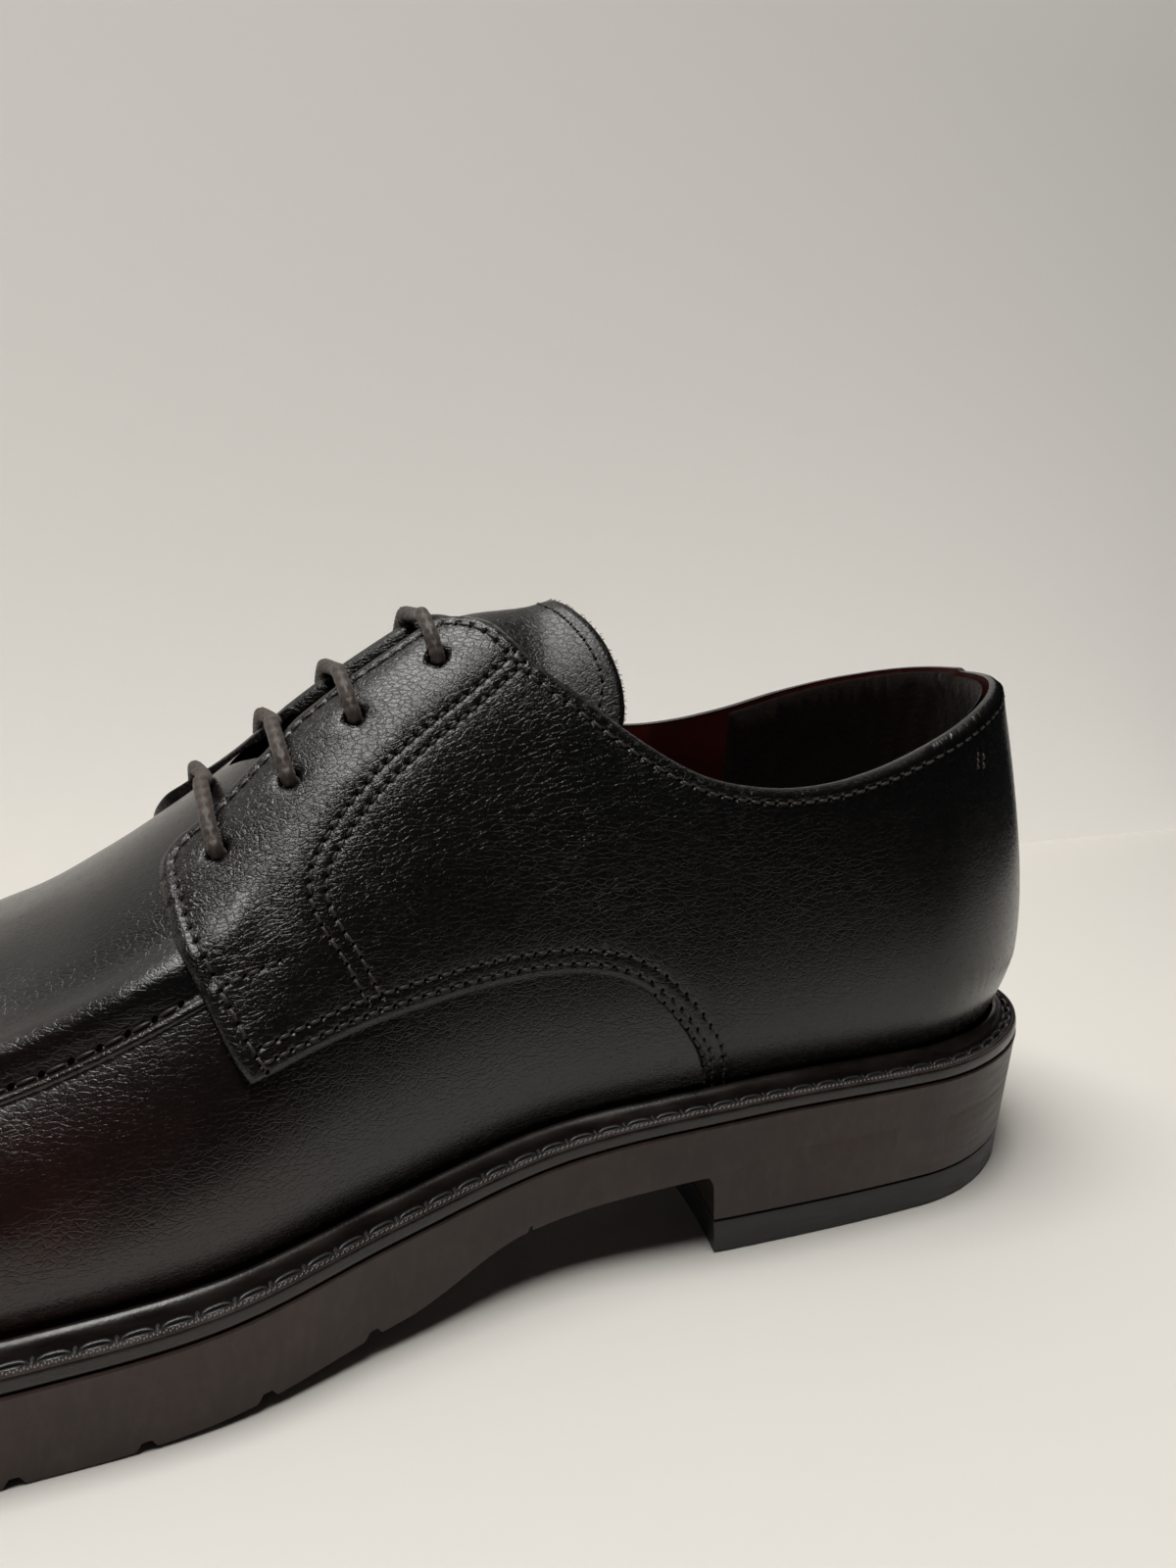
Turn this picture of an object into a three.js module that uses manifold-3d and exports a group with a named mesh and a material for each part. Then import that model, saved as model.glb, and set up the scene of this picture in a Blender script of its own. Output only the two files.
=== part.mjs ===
// A left derby shoe with a raised apron seam, four blind eyelets a side and a
// storm welt on a moulded lugged sole. Millimetres, +X to the toe, +Y to the
// outer side of the foot, +Z up, standing on its heel and forefoot.
import * as THREE from 'three';
import { mergeVertices } from 'three/addons/utils/BufferGeometryUtils.js';
import loadManifold from 'manifold-3d';

// Driving sizes of the last and the sole
const SOLE_LENGTH = 302;
const BALL_WIDTH = 108;
const HEEL_HEIGHT = 25.4;
const SOLE_THICKNESS = 13.4;
const WAIST_THICKNESS = 9.6;
const TOE_SPRING = 8.6;
const INSTEP_RISE = 88.5;
const COUNTER_BULGE = 4.4;
const HEEL_ROUND = 40;
const TOE_ROUND = 62;
const HEEL_SQUARENESS = 2.15;
const TOE_SQUARENESS = 2.2;

// Driving sizes of the welt, the sole unit and the heel
const WELT_REACH = 6;
const WELT_THICKNESS = 3;
const LIP_HEIGHT = 5;
const TOP_LIFT_THICKNESS = 6.3;
const HEEL_LENGTH = 83;
const BREAST_HOLLOW = 4.5;
const BREAST_HALF = 38;
const HEEL_TAPER = 0.118;
const FOREPART_TAPER = 0.06;
const TREAD_FLAT = 0.25;
const LUG_DEPTH = 2.6;
const EDGE_LUG_DEPTH = 1.5;
const LUG_GROOVE = 3.2;
const LUG_PITCH = 15.7;
const EDGE_LUG_REACH = 25;
const MIDDLE_LUG_WIDTH = 30;

// Driving sizes of the upper, tongue, insole and laces
const UPPER_WALL = 2.2;
const QUARTER_STEP = 1.4;
const APRON_RIDGE = 2.1;
const APRON_WIDTH = 10;
const APRON_PLACE = 0.495;
const APRON_FADE = 14;
const COUNTER_HEIGHT = 66;
const INNER_ANKLE_RISE = 4.9;
const TONGUE_THICKNESS = 1.8;
const TONGUE_DROP = 6.2;
const INSOLE_THICKNESS = 2.7;
const EYELET_RADIUS = 2.3;
const LACE_RADIUS = 1.25;
const LACE_DIP = 1.2;
const LACE_LIFT = 0.35;
const LACE_SAG = 2;
const LACE_SAG_WITHIN = 11;
const CLEAR = 0.3;

// The last is worked out on a flat pattern: a strip round a spine, with a fan
// at the heel and at the toe. FLAT is the strip's width from ridge to feather.
const FLAT = 100;
const BOWL = 2e-4;
const BALL_HALF = BALL_WIDTH / 2;
const HEEL_CENTRE = HEEL_ROUND;
const TOE_CENTRE = SOLE_LENGTH - TOE_ROUND;

// Each row is a section of the last, at a share of the sole's length. The half
// widths are shares of half the ball, rise of the heel lift, spring of the toe
// spring, ridge and belly of the instep rise, bulge of the counter's bulge.
const SECTIONS = [
  { at: -0.10, lateral: 0.62, medial: 0.62, rise: 1, spring: 0, ridge: 1.52, full: 2.15, bulge: 1.05, belly: 0.26 },
  { at: 0.00, lateral: 0.62, medial: 0.62, rise: 1, spring: 0, ridge: 1.44, full: 2.15, bulge: 1.0, belly: 0.26 },
  { at: 0.13, lateral: 0.715, medial: 0.70, rise: 1, spring: 0, ridge: 1.31, full: 2.15, bulge: 0.64, belly: 0.24 },
  { at: 0.26, lateral: 0.73, medial: 0.69, rise: 0.97, spring: 0, ridge: 1.135, full: 2.06, bulge: 0.46, belly: 0.22 },
  { at: 0.37, lateral: 0.70, medial: 0.62, rise: 0.68, spring: 0, ridge: 0.99, full: 2.0, bulge: 0.42, belly: 0.20 },
  { at: 0.46, lateral: 0.82, medial: 0.70, rise: 0.35, spring: 0, ridge: 0.845, full: 2.0, bulge: 0.42, belly: 0.18 },
  { at: 0.54, lateral: 0.965, medial: 0.86, rise: 0.10, spring: 0, ridge: 0.665, full: 2.02, bulge: 0.42, belly: 0.16 },
  { at: 0.62, lateral: 1.0, medial: 1.0, rise: 0, spring: 0, ridge: 0.51, full: 2.1, bulge: 0.42, belly: 0.14 },
  { at: 0.70, lateral: 1.005, medial: 1.05, rise: 0, spring: 0.01, ridge: 0.43, full: 2.2, bulge: 0.42, belly: 0.13 },
  { at: 0.78, lateral: 0.98, medial: 1.02, rise: 0, spring: 0.12, ridge: 0.39, full: 2.3, bulge: 0.42, belly: 0.12 },
  { at: 0.88, lateral: 0.90, medial: 0.92, rise: 0, spring: 0.42, ridge: 0.355, full: 2.45, bulge: 0.42, belly: 0.12 },
  { at: 1.00, lateral: 0.78, medial: 0.78, rise: 0, spring: 1, ridge: 0.31, full: 2.5, bulge: 0.42, belly: 0.12 },
];

// Edges on the flat pattern: at is a share of the length, down a share of the
// way from the ridge to the feather.
const QUARTER_FRONT = [
  { at: 0.482, down: 0.115 }, { at: 0.515, down: 0.169 }, { at: 0.536, down: 0.200 },
  { at: 0.547, down: 0.212 }, { at: 0.555, down: 0.250 }, { at: 0.556, down: 0.320 },
  { at: 0.553, down: 0.421 }, { at: 0.549, down: 0.487 }, { at: 0.541, down: 0.584 },
  { at: 0.531, down: 0.690 }, { at: 0.5245, down: 0.737 },
];
const QUARTER_FOOT = [
  { at: 0.5245, down: 0.737 }, { at: 0.482, down: 0.755 }, { at: 0.431, down: 0.782 },
  { at: 0.370, down: 0.816 }, { at: 0.342, down: 0.836 }, { at: 0.321, down: 0.860 },
  { at: 0.304, down: 0.895 }, { at: 0.290, down: 0.935 }, { at: 0.281, down: 0.975 },
  { at: 0.276, down: 1.060 },
];
const FACING = [
  { at: 0.505, down: 0.110 }, { at: 0.480, down: 0.115 }, { at: 0.440, down: 0.112 },
  { at: 0.413, down: 0.108 }, { at: 0.403, down: 0.118 }, { at: 0.390, down: 0.180 },
  { at: 0.380, down: 0.236 }, { at: 0.372, down: 0.298 }, { at: 0.362, down: 0.377 },
];

// Height of the topline over the welt's lip, as a share of the counter's height
const COLLAR = [
  { at: 0.000, up: 1.000 }, { at: 0.030, up: 0.990 }, { at: 0.070, up: 0.938 },
  { at: 0.118, up: 0.858 }, { at: 0.168, up: 0.777 }, { at: 0.200, up: 0.746 },
  { at: 0.240, up: 0.746 }, { at: 0.277, up: 0.795 }, { at: 0.310, up: 0.900 },
  { at: 0.337, up: 1.012 }, { at: 0.362, up: 1.122 }, { at: 0.372, up: 1.190 },
];
const COLLAR_RISE_AT = 0.20;
const COLLAR_RISE_REACH = 0.12;
const EYELETS = [
  { at: 0.411, down: 0.252 }, { at: 0.457, down: 0.262 },
  { at: 0.492, down: 0.292 }, { at: 0.529, down: 0.325 },
];
const TONGUE_EDGE = [
  { at: 0.568, down: 0.000 }, { at: 0.566, down: 0.160 }, { at: 0.555, down: 0.290 },
  { at: 0.500, down: 0.400 }, { at: 0.430, down: 0.450 }, { at: 0.370, down: 0.520 },
  { at: 0.335, down: 0.575 }, { at: 0.316, down: 0.548 }, { at: 0.312, down: 0.490 },
  { at: 0.316, down: 0.410 }, { at: 0.323, down: 0.335 }, { at: 0.333, down: 0.240 },
  { at: 0.342, down: 0.130 }, { at: 0.346, down: 0.000 },
];
const TONGUE_DROPS_FROM = 0.405;
const TONGUE_DROPS_TO = 0.345;
const TONGUE_DROPS_WITHIN = 0.6;

// Places along the length where the parts of the shoe begin and end
const PAD_STARTS = 0.385;
const PAD_FULL = 0.455;
const FIRST_LUG = 0.472;
const LUG_ROWS = 8;
const APRON_STARTS = 0.525;
const THROAT_TIP = 0.521;
const QUARTER_MIDDLE = 0.47;

const wasm = await loadManifold();
wasm.setup();

// From 0 to 1 as the value goes from low to high, with soft ends
function ease(value, low, high) {
  const t = Math.min(1, Math.max(0, (value - low) / (high - low)));
  return t * t * (3 - 2 * t);
}

// Smooth curve through one column of a table, straight past its ends
function slopes(rows, name) {
  const steps = rows.slice(1).map((row, i) => (row[name] - rows[i][name]) / (row.at - rows[i].at));
  return rows.map((row, i) => {
    if (i === 0) return steps[0];
    if (i === rows.length - 1) return steps[i - 1];
    const before = row.at - rows[i - 1].at;
    const after = rows[i + 1].at - row.at;
    return (steps[i - 1] * after + steps[i] * before) / (before + after);
  });
}

function curveOf(rows, name) {
  const slope = slopes(rows, name);
  const last = rows.length - 1;
  return (at) => {
    if (at <= rows[0].at) return rows[0][name] + slope[0] * (at - rows[0].at);
    if (at >= rows[last].at) return rows[last][name] + slope[last] * (at - rows[last].at);
    let i = 0;
    while (rows[i + 1].at < at) i += 1;
    const span = rows[i + 1].at - rows[i].at;
    const t = (at - rows[i].at) / span;
    const s = 1 - t;
    return (1 + 2 * t) * s * s * rows[i][name] + t * s * s * span * slope[i]
      + t * t * (3 - 2 * t) * rows[i + 1][name] - t * t * s * span * slope[i + 1];
  };
}

const section = {};
for (const name of ['lateral', 'medial', 'rise', 'spring', 'ridge', 'full', 'bulge', 'belly']) {
  section[name] = curveOf(SECTIONS, name);
}

// Height of the sole's upper face, on which welt, upper and insole stand
function deck(x) {
  const at = x / SOLE_LENGTH;
  return SOLE_THICKNESS + (HEEL_HEIGHT - SOLE_THICKNESS) * section.rise(at) + TOE_SPRING * section.spring(at);
}

function ridge(x) {
  return deck(x) + LIP_HEIGHT + INSTEP_RISE * section.ridge(x / SOLE_LENGTH);
}

// A station is a place on the way round the sole: along the spine at x, or at
// an angle in the fan of the heel (end -1) or of the toe (end 1)
function outlinePoint(station, inset) {
  const { x, end, turn, side } = station;
  const round = (end > 0 ? TOE_ROUND : HEEL_ROUND) - inset;
  const square = 2 / (end > 0 ? TOE_SQUARENESS : HEEL_SQUARENESS);
  const along = end * round * Math.sin(turn) ** square;
  const cap = end === 0 ? 1 : Math.max(0, Math.cos(turn)) ** square;
  const at = (x + along) / SOLE_LENGTH;
  const lateral = section.lateral(at) * BALL_HALF - inset;
  const medial = section.medial(at) * BALL_HALF - inset;
  const y = (lateral - medial) / 2 + side * (lateral + medial) / 2 * cap;
  return { x: x + along, y, at };
}

function spineY(x) {
  const at = x / SOLE_LENGTH;
  return (section.lateral(at) - section.medial(at)) * BALL_HALF / 2;
}

function stationOf(u, v) {
  const x = Math.min(Math.max(u, HEEL_CENTRE), TOE_CENTRE);
  const end = Math.sign(u - x);
  return { x, end, turn: Math.atan2(Math.abs(u - x), Math.abs(v)), side: v < 0 ? -1 : 1 };
}

// Point of the last for a point (u, v) of the flat pattern
function lastPoint(u, v) {
  const station = stationOf(u, v);
  const foot = outlinePoint(station, WELT_REACH);
  const reach = Math.hypot(u - station.x, v);
  const angle = (1 - Math.min(reach / FLAT, 1)) * Math.PI / 2;
  const full = section.full(foot.at);
  const swell = (Math.cos(angle) ** full + Math.sin(angle) ** full) ** (1 / full);
  const out = Math.cos(angle) / swell;
  const up = Math.sin(angle) / swell;
  const feather = deck(foot.x) + LIP_HEIGHT;
  const height = INSTEP_RISE * section.ridge(foot.at) * up;
  const belly = INSTEP_RISE * section.belly(foot.at);
  const bulge = COUNTER_BULGE * section.bulge(foot.at) * (height / belly) * Math.exp(1 - height / belly);
  const dx = foot.x - station.x;
  const dy = foot.y - spineY(station.x);
  const share = out + bulge / Math.hypot(dx, dy);
  const x = station.x + dx * share;
  const y = spineY(station.x) + dy * share;
  const z = feather + (ridge(x) - feather) * up - Math.max(reach - FLAT, 0);
  return new THREE.Vector3(x, y, z);
}

// Point at a height above the last's surface
function skinPoint(u, v, height) {
  const e = 0.05;
  const side = v < 0 ? -1 : 1;
  const w = Math.abs(v) < 2 * e ? side * 2 * e : v;
  const along = lastPoint(u + e, w).sub(lastPoint(u - e, w));
  const across = lastPoint(u, w + e).sub(lastPoint(u, w - e));
  const normal = along.cross(across).normalize();
  return lastPoint(u, v).addScaledVector(normal, height);
}

// Stations round the sole, shared by every piece so that their facets agree
const STRAIGHT_STEPS = 20;
const HEEL_STEPS = 8;
const TOE_STEPS = 10;

function sideStations(side) {
  const list = [];
  for (let i = 0; i < HEEL_STEPS; i += 1) {
    list.push({ x: HEEL_CENTRE, end: -1, turn: (1 - i / HEEL_STEPS) * Math.PI / 2, side });
  }
  for (let i = 0; i <= STRAIGHT_STEPS; i += 1) {
    list.push({ x: HEEL_CENTRE + (TOE_CENTRE - HEEL_CENTRE) * i / STRAIGHT_STEPS, end: 0, turn: 0, side });
  }
  for (let i = 1; i <= TOE_STEPS; i += 1) {
    list.push({ x: TOE_CENTRE, end: 1, turn: i / TOE_STEPS * Math.PI / 2, side });
  }
  return list;
}

const STATIONS = [...sideStations(1), ...sideStations(-1).reverse().slice(1, -1)];

function flatPoint(station, reach) {
  return {
    u: station.x + station.end * reach * Math.sin(station.turn),
    v: station.side * reach * Math.cos(station.turn),
  };
}

// Meshes and solids
function weld(positions, index, tolerance) {
  const raw = new THREE.BufferGeometry();
  raw.setAttribute('position', new THREE.Float32BufferAttribute(positions, 3));
  raw.setIndex(index);
  const merged = mergeVertices(raw, tolerance);
  const kept = [];
  const ids = merged.index.array;
  for (let i = 0; i < ids.length; i += 3) {
    const [a, b, c] = [ids[i], ids[i + 1], ids[i + 2]];
    if (a !== b && b !== c && c !== a) kept.push(a, b, c);
  }
  merged.setIndex(kept);
  return merged;
}

function toSolid(geometry) {
  const vertProperties = new Float32Array(geometry.attributes.position.array);
  const triVerts = new Uint32Array(geometry.index.array);
  return new wasm.Manifold(new wasm.Mesh({ numProp: 3, vertProperties, triVerts }));
}

function toGeometry(solid, place) {
  const mesh = solid.getMesh();
  const positions = [];
  for (let i = 0; i < mesh.numVert; i += 1) {
    const [a, b, c] = mesh.vertProperties.slice(i * mesh.numProp, i * mesh.numProp + 3);
    const point = place ? place(a, b, c) : new THREE.Vector3(a, b, c);
    positions.push(point.x, point.y, point.z);
  }
  return weld(positions, Array.from(mesh.triVerts), 1e-3);
}

// Closed slab from rings of points: upper[ring][station], lower the same, from
// the middle out, joined by a wall round the outermost ring
function slab(upper, lower) {
  const count = upper[0].length;
  const rings = upper.length;
  const positions = [];
  for (const ring of [...upper, ...lower]) {
    for (const p of ring) positions.push(p.x, p.y, p.z);
  }
  const index = [];
  const quad = (a, b, c, d) => index.push(a, b, c, a, c, d);
  for (let i = 0; i < count; i += 1) {
    const j = (i + 1) % count;
    for (let r = 0; r < rings - 1; r += 1) {
      const low = rings * count;
      quad(r * count + i, r * count + j, (r + 1) * count + j, (r + 1) * count + i);
      quad(low + r * count + i, low + (r + 1) * count + i, low + (r + 1) * count + j, low + r * count + j);
    }
    const top = (rings - 1) * count;
    const bottom = (2 * rings - 1) * count;
    quad(top + i, top + j, bottom + j, bottom + i);
  }
  return toSolid(weld(positions, index, 1e-3));
}

// Closed ring swept round the stations with a profile of inset and height
function sweptRing(profile, placeOf) {
  const positions = [];
  for (const station of STATIONS) {
    for (const row of profile) {
      const p = placeOf(station, row);
      positions.push(p.x, p.y, p.z);
    }
  }
  const n = profile.length;
  const index = [];
  STATIONS.forEach((_, i) => {
    const next = (i + 1) % STATIONS.length;
    for (let k = 0; k < n; k += 1) {
      const m = (k + 1) % n;
      const [a, b, c, d] = [i * n + k, next * n + k, next * n + m, i * n + m];
      index.push(a, c, b, a, d, c);
    }
  });
  return toSolid(weld(positions, index, 1e-3));
}

function prism(points, low, high) {
  const shape = new THREE.Shape(points.map((p) => new THREE.Vector2(p.u, p.v)));
  const raw = new THREE.ExtrudeGeometry(shape, { depth: high - low, bevelEnabled: false, steps: 1 });
  raw.deleteAttribute('normal');
  raw.deleteAttribute('uv');
  raw.translate(0, 0, low);
  return toSolid(mergeVertices(raw, 1e-4));
}

// Points of a table's edge on the flat pattern, smoothed
function edgePoints(rows, side, count) {
  const points = rows.map((row) => new THREE.Vector2(row.at * SOLE_LENGTH, side * row.down * FLAT));
  const curve = new THREE.SplineCurve(points);
  return curve.getPoints(count).map((p) => ({ u: p.x, v: p.y }));
}

// Leather pieces are cut flat, joined, then bent over the last
const RING_SHARES = [0, 0.09, 0.18, 0.27, 0.36, 0.45, 0.54, 0.63, 0.72, 0.80, 0.87, 0.94, 1];
const RINGS = RING_SHARES.map((share) => share * FLAT);
const LASTING = LIP_HEIGHT - CLEAR;

function leather(low, high, rings) {
  const face = (height) => rings.map((reach) => STATIONS.map((station) => {
    const { u, v } = flatPoint(station, reach);
    return { x: u, y: v, z: height + BOWL * (u * u + v * v) };
  }));
  return slab(face(high), face(low));
}

const STEP_FADES_AT = 0.94;
const STEP_LEFT = 0.08;

// The quarter's step thins out where it goes down behind the welt's lip
function stepShare(u, v) {
  const { x } = stationOf(u, v);
  const share = Math.hypot(u - x, v) / FLAT;
  const fade = 1 - (share - STEP_FADES_AT) / (1 - STEP_FADES_AT);
  return Math.max(STEP_LEFT, Math.min(1, fade));
}

function bend(solid, sinkAt = () => 0) {
  return toGeometry(solid, (u, v, z) => {
    const height = z - BOWL * (u * u + v * v);
    return skinPoint(u, v, (height > 0 ? height * stepShare(u, v) : height) - sinkAt(u, v));
  });
}

const BELOW = -0.2 * FLAT;
const ABOVE = 0.6 * FLAT;

const collarUp = curveOf(COLLAR, 'up');

// The inner side's topline stands a little higher at the ankle
function collarHeight(x, side) {
  const at = x / SOLE_LENGTH;
  const away = (at - COLLAR_RISE_AT) / COLLAR_RISE_REACH;
  const rise = side < 0 ? INNER_ANKLE_RISE * Math.exp(-away * away) : 0;
  return deck(x) + LIP_HEIGHT + COUNTER_HEIGHT * collarUp(at) + rise;
}

// Where the topline crosses the flat pattern at a station, by halving
function collarPoint(station) {
  let [high, low] = [0.1 * FLAT, FLAT];
  for (let i = 0; i < 30; i += 1) {
    const reach = (high + low) / 2;
    const { u, v } = flatPoint(station, reach);
    const p = lastPoint(u, v);
    if (p.z > collarHeight(p.x, station.side)) high = reach;
    else low = reach;
  }
  return flatPoint(station, low);
}

const COLLAR_FRONT = 0.352;
const COLLAR_STEPS = 16;
const COLLAR_FAN_STEPS = 16;
const FACING_STEPS = 36;
const QUARTER_STEPS = 22;
const TONGUE_STEPS = 30;

function openingSide(side) {
  const points = edgePoints(FACING, side, FACING_STEPS);
  const front = COLLAR_FRONT * SOLE_LENGTH;
  for (let i = 0; i <= COLLAR_STEPS; i += 1) {
    const x = front + (HEEL_CENTRE - front) * i / COLLAR_STEPS;
    points.push(collarPoint({ x, end: 0, turn: 0, side }));
  }
  for (let i = 1; i <= COLLAR_FAN_STEPS; i += 1) {
    const turn = i / COLLAR_FAN_STEPS * Math.PI / 2;
    points.push(collarPoint({ x: HEEL_CENTRE, end: -1, turn, side }));
  }
  return points;
}

function openingPrism() {
  const lateral = openingSide(1);
  const medial = openingSide(-1).reverse().slice(1);
  const tip = { u: THROAT_TIP * SOLE_LENGTH, v: 0 };
  return prism([tip, ...lateral, ...medial], BELOW, ABOVE);
}

function quarterPrism() {
  const beyond = 1.5 * FLAT;
  const half = (side) => [
    ...edgePoints(QUARTER_FRONT, side, QUARTER_STEPS),
    ...edgePoints(QUARTER_FOOT, side, QUARTER_STEPS).slice(1),
    { u: -beyond, v: side * beyond },
  ];
  const inner = { u: QUARTER_MIDDLE * SOLE_LENGTH, v: 0 };
  return prism([inner, ...half(1), ...half(-1).reverse()], BELOW, ABOVE);
}

const EYELET_SIDES = 10;

function eyeletPrism(row, side) {
  const points = [];
  for (let i = 0; i < EYELET_SIDES; i += 1) {
    const a = i / EYELET_SIDES * 2 * Math.PI;
    const across = EYELET_RADIUS / spread(row);
    points.push({
      u: row.at * SOLE_LENGTH + EYELET_RADIUS * Math.cos(a),
      v: side * row.down * FLAT + across * Math.sin(a),
    });
  }
  return prism(points, BELOW, ABOVE);
}

// Real millimetres for each millimetre across the flat pattern
function spread(row) {
  const u = row.at * SOLE_LENGTH;
  const v = row.down * FLAT;
  const half = 0.5;
  return lastPoint(u, v + half).distanceTo(lastPoint(u, v - half)) / (2 * half);
}

// Section of the rolled seam, as shares of its width and height
const APRON_PROFILE = [
  { across: -0.5, up: -0.25 }, { across: -0.38, up: 0.35 }, { across: -0.12, up: 0.9 },
  { across: 0.16, up: 1 }, { across: 0.4, up: 0.55 }, { across: 0.5, up: -0.25 },
];
const APRON_END_HEIGHT = 0.45;

// The rolled seam of the apron, as a rounded ridge round the toe
function apronRidge() {
  const start = APRON_STARTS * SOLE_LENGTH;
  const path = STATIONS.filter((s) => s.end > 0 || (s.end === 0 && s.x > start));
  const lateral = path.filter((s) => s.side > 0);
  const medial = path.filter((s) => s.side < 0);
  const first = { x: start, end: 0, turn: 0 };
  const line = [{ ...first, side: 1 }, ...lateral, ...medial, { ...first, side: -1 }];
  const positions = [];
  line.forEach((station) => {
    const along = station.end > 0 ? 1 : Math.min(1, (station.x - start) / APRON_FADE);
    const share = APRON_END_HEIGHT + (1 - APRON_END_HEIGHT) * along;
    for (const row of APRON_PROFILE) {
      const { u, v } = flatPoint(station, APRON_PLACE * FLAT + row.across * APRON_WIDTH);
      const tall = APRON_RIDGE * row.up * (row.up > 0 ? share : 1);
      positions.push(u, v, tall + BOWL * (u * u + v * v));
    }
  });
  const n = APRON_PROFILE.length;
  const index = [];
  for (let i = 0; i < line.length - 1; i += 1) {
    for (let k = 0; k < n; k += 1) {
      const m = (k + 1) % n;
      const [a, b, c, d] = [i * n + k, (i + 1) * n + k, (i + 1) * n + m, i * n + m];
      index.push(a, b, c, a, c, d);
    }
  }
  const end = (line.length - 1) * n;
  for (let k = 1; k < n - 1; k += 1) {
    index.push(0, k, k + 1);
    index.push(end, end + k + 1, end + k);
  }
  return toSolid(weld(positions, index, 1e-3));
}

function upper() {
  const lasted = [...RINGS, FLAT + LASTING];
  const base = leather(-UPPER_WALL, 0, lasted);
  const overlay = leather(-UPPER_WALL / 2, QUARTER_STEP, lasted).intersect(quarterPrism());
  let solid = base.add(apronRidge()).add(overlay).subtract(openingPrism());
  for (const row of EYELETS) {
    for (const side of [1, -1]) solid = solid.subtract(eyeletPrism(row, side));
  }
  return bend(solid);
}

// Past the facings the tongue lies flatter than the last
function tongueSink(u, v) {
  const share = ease(-u / SOLE_LENGTH, -TONGUE_DROPS_FROM, -TONGUE_DROPS_TO);
  const across = Math.min(1, Math.abs(v) / (TONGUE_DROPS_WITHIN * FLAT));
  return TONGUE_DROP * share * (1 - across * across);
}

function tongue() {
  const top = -UPPER_WALL - CLEAR;
  const sheet = leather(top - TONGUE_THICKNESS, top, RINGS.filter((r) => r < 0.7 * FLAT));
  const lateral = edgePoints(TONGUE_EDGE, 1, TONGUE_STEPS);
  const medial = edgePoints(TONGUE_EDGE, -1, TONGUE_STEPS).reverse().slice(1, -1);
  return bend(sheet.intersect(prism([...lateral, ...medial], BELOW, ABOVE)), tongueSink);
}

// Flat pieces that follow the sole's plan, from the spine to an inset outline
function planRing(inset, share, heightAt) {
  return STATIONS.map((station) => {
    const rim = outlinePoint(station, inset(station));
    const y0 = spineY(station.x);
    const x = station.x + (rim.x - station.x) * share;
    const y = y0 + (rim.y - y0) * share;
    return { x, y, z: heightAt(x) };
  });
}

const PLAN_SHARES = [0, 0.5, 1];

function planSlab(topInset, topHeight, lowInset, lowHeight) {
  return slab(
    PLAN_SHARES.map((share) => planRing(topInset, share, topHeight)),
    PLAN_SHARES.map((share) => planRing(lowInset, share, lowHeight)),
  );
}

function insole() {
  const inset = () => WELT_REACH + UPPER_WALL + CLEAR;
  const low = (x) => deck(x) + CLEAR;
  const top = (x) => deck(x) + CLEAR + INSOLE_THICKNESS;
  return toGeometry(planSlab(inset, top, inset, low));
}

// Section of the welt from its outer edge in: the bead, the stitching's channel
// and the lip. Insets are shares of its reach and heights of its thickness.
const WELT_SECTION = [
  { inset: 0.04, up: 0.10 }, { inset: 0.00, up: 0.27 }, { inset: 0.00, up: 0.77 },
  { inset: 0.10, up: 1.00 }, { inset: 0.28, up: 1.00 }, { inset: 0.37, up: 0.73 },
  { inset: 0.53, up: 0.73 }, { inset: 0.63, up: 1.03 },
];
const LIP_FOOT = 0.77;
const LIP_TOP = 0.85;
const LIP_ROUNDING = 0.9;
const WELT_INNER = WELT_REACH - CLEAR;
const WELT_PROFILE = [
  ...WELT_SECTION.map((row) => ({ inset: row.inset * WELT_REACH, height: row.up * WELT_THICKNESS })),
  { inset: LIP_FOOT * WELT_REACH, height: LIP_HEIGHT - LIP_ROUNDING },
  { inset: LIP_TOP * WELT_REACH, height: LIP_HEIGHT },
  { inset: WELT_INNER, height: LIP_HEIGHT },
  { inset: WELT_INNER, height: CLEAR },
];

function welt() {
  return toGeometry(sweptRing(WELT_PROFILE, (station, row) => {
    const rim = outlinePoint(station, row.inset);
    return { x: rim.x, y: rim.y, z: deck(rim.x) + row.height };
  }));
}

// The sole is thin at the waist and thickens to the tread's pad
function soleThickness(x) {
  const pad = ease(x / SOLE_LENGTH, PAD_STARTS, PAD_FULL);
  return WAIST_THICKNESS + (SOLE_THICKNESS - WAIST_THICKNESS) * pad;
}

// The sole unit's underside, level where the forefoot stands
function tread(x) {
  return Math.max(0, deck(x) - soleThickness(x) - TREAD_FLAT);
}

// The side of the sole leans in below the deck, more at the heel
function sideLean(station, drop) {
  const taper = FOREPART_TAPER + (HEEL_TAPER - FOREPART_TAPER) * section.rise(station.x / SOLE_LENGTH);
  return taper * drop;
}

const BREAST_STEPS = 12;

// What lies behind the heel's breast, which is hollowed in plan
function breastPrism() {
  const shape = new THREE.Shape();
  shape.moveTo(-SOLE_LENGTH, -BALL_HALF);
  for (let i = 0; i <= BREAST_STEPS; i += 1) {
    const across = 2 * i / BREAST_STEPS - 1;
    const hollow = BREAST_HOLLOW * (1 - across * across);
    shape.lineTo(HEEL_LENGTH - hollow, across * BREAST_HALF);
  }
  shape.lineTo(-SOLE_LENGTH, BALL_HALF);
  const raw = new THREE.ExtrudeGeometry(shape, { depth: 2 * HEEL_HEIGHT, bevelEnabled: false });
  raw.deleteAttribute('normal');
  raw.deleteAttribute('uv');
  raw.translate(0, 0, -HEEL_HEIGHT / 2);
  return toSolid(mergeVertices(raw, 1e-4));
}

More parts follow.
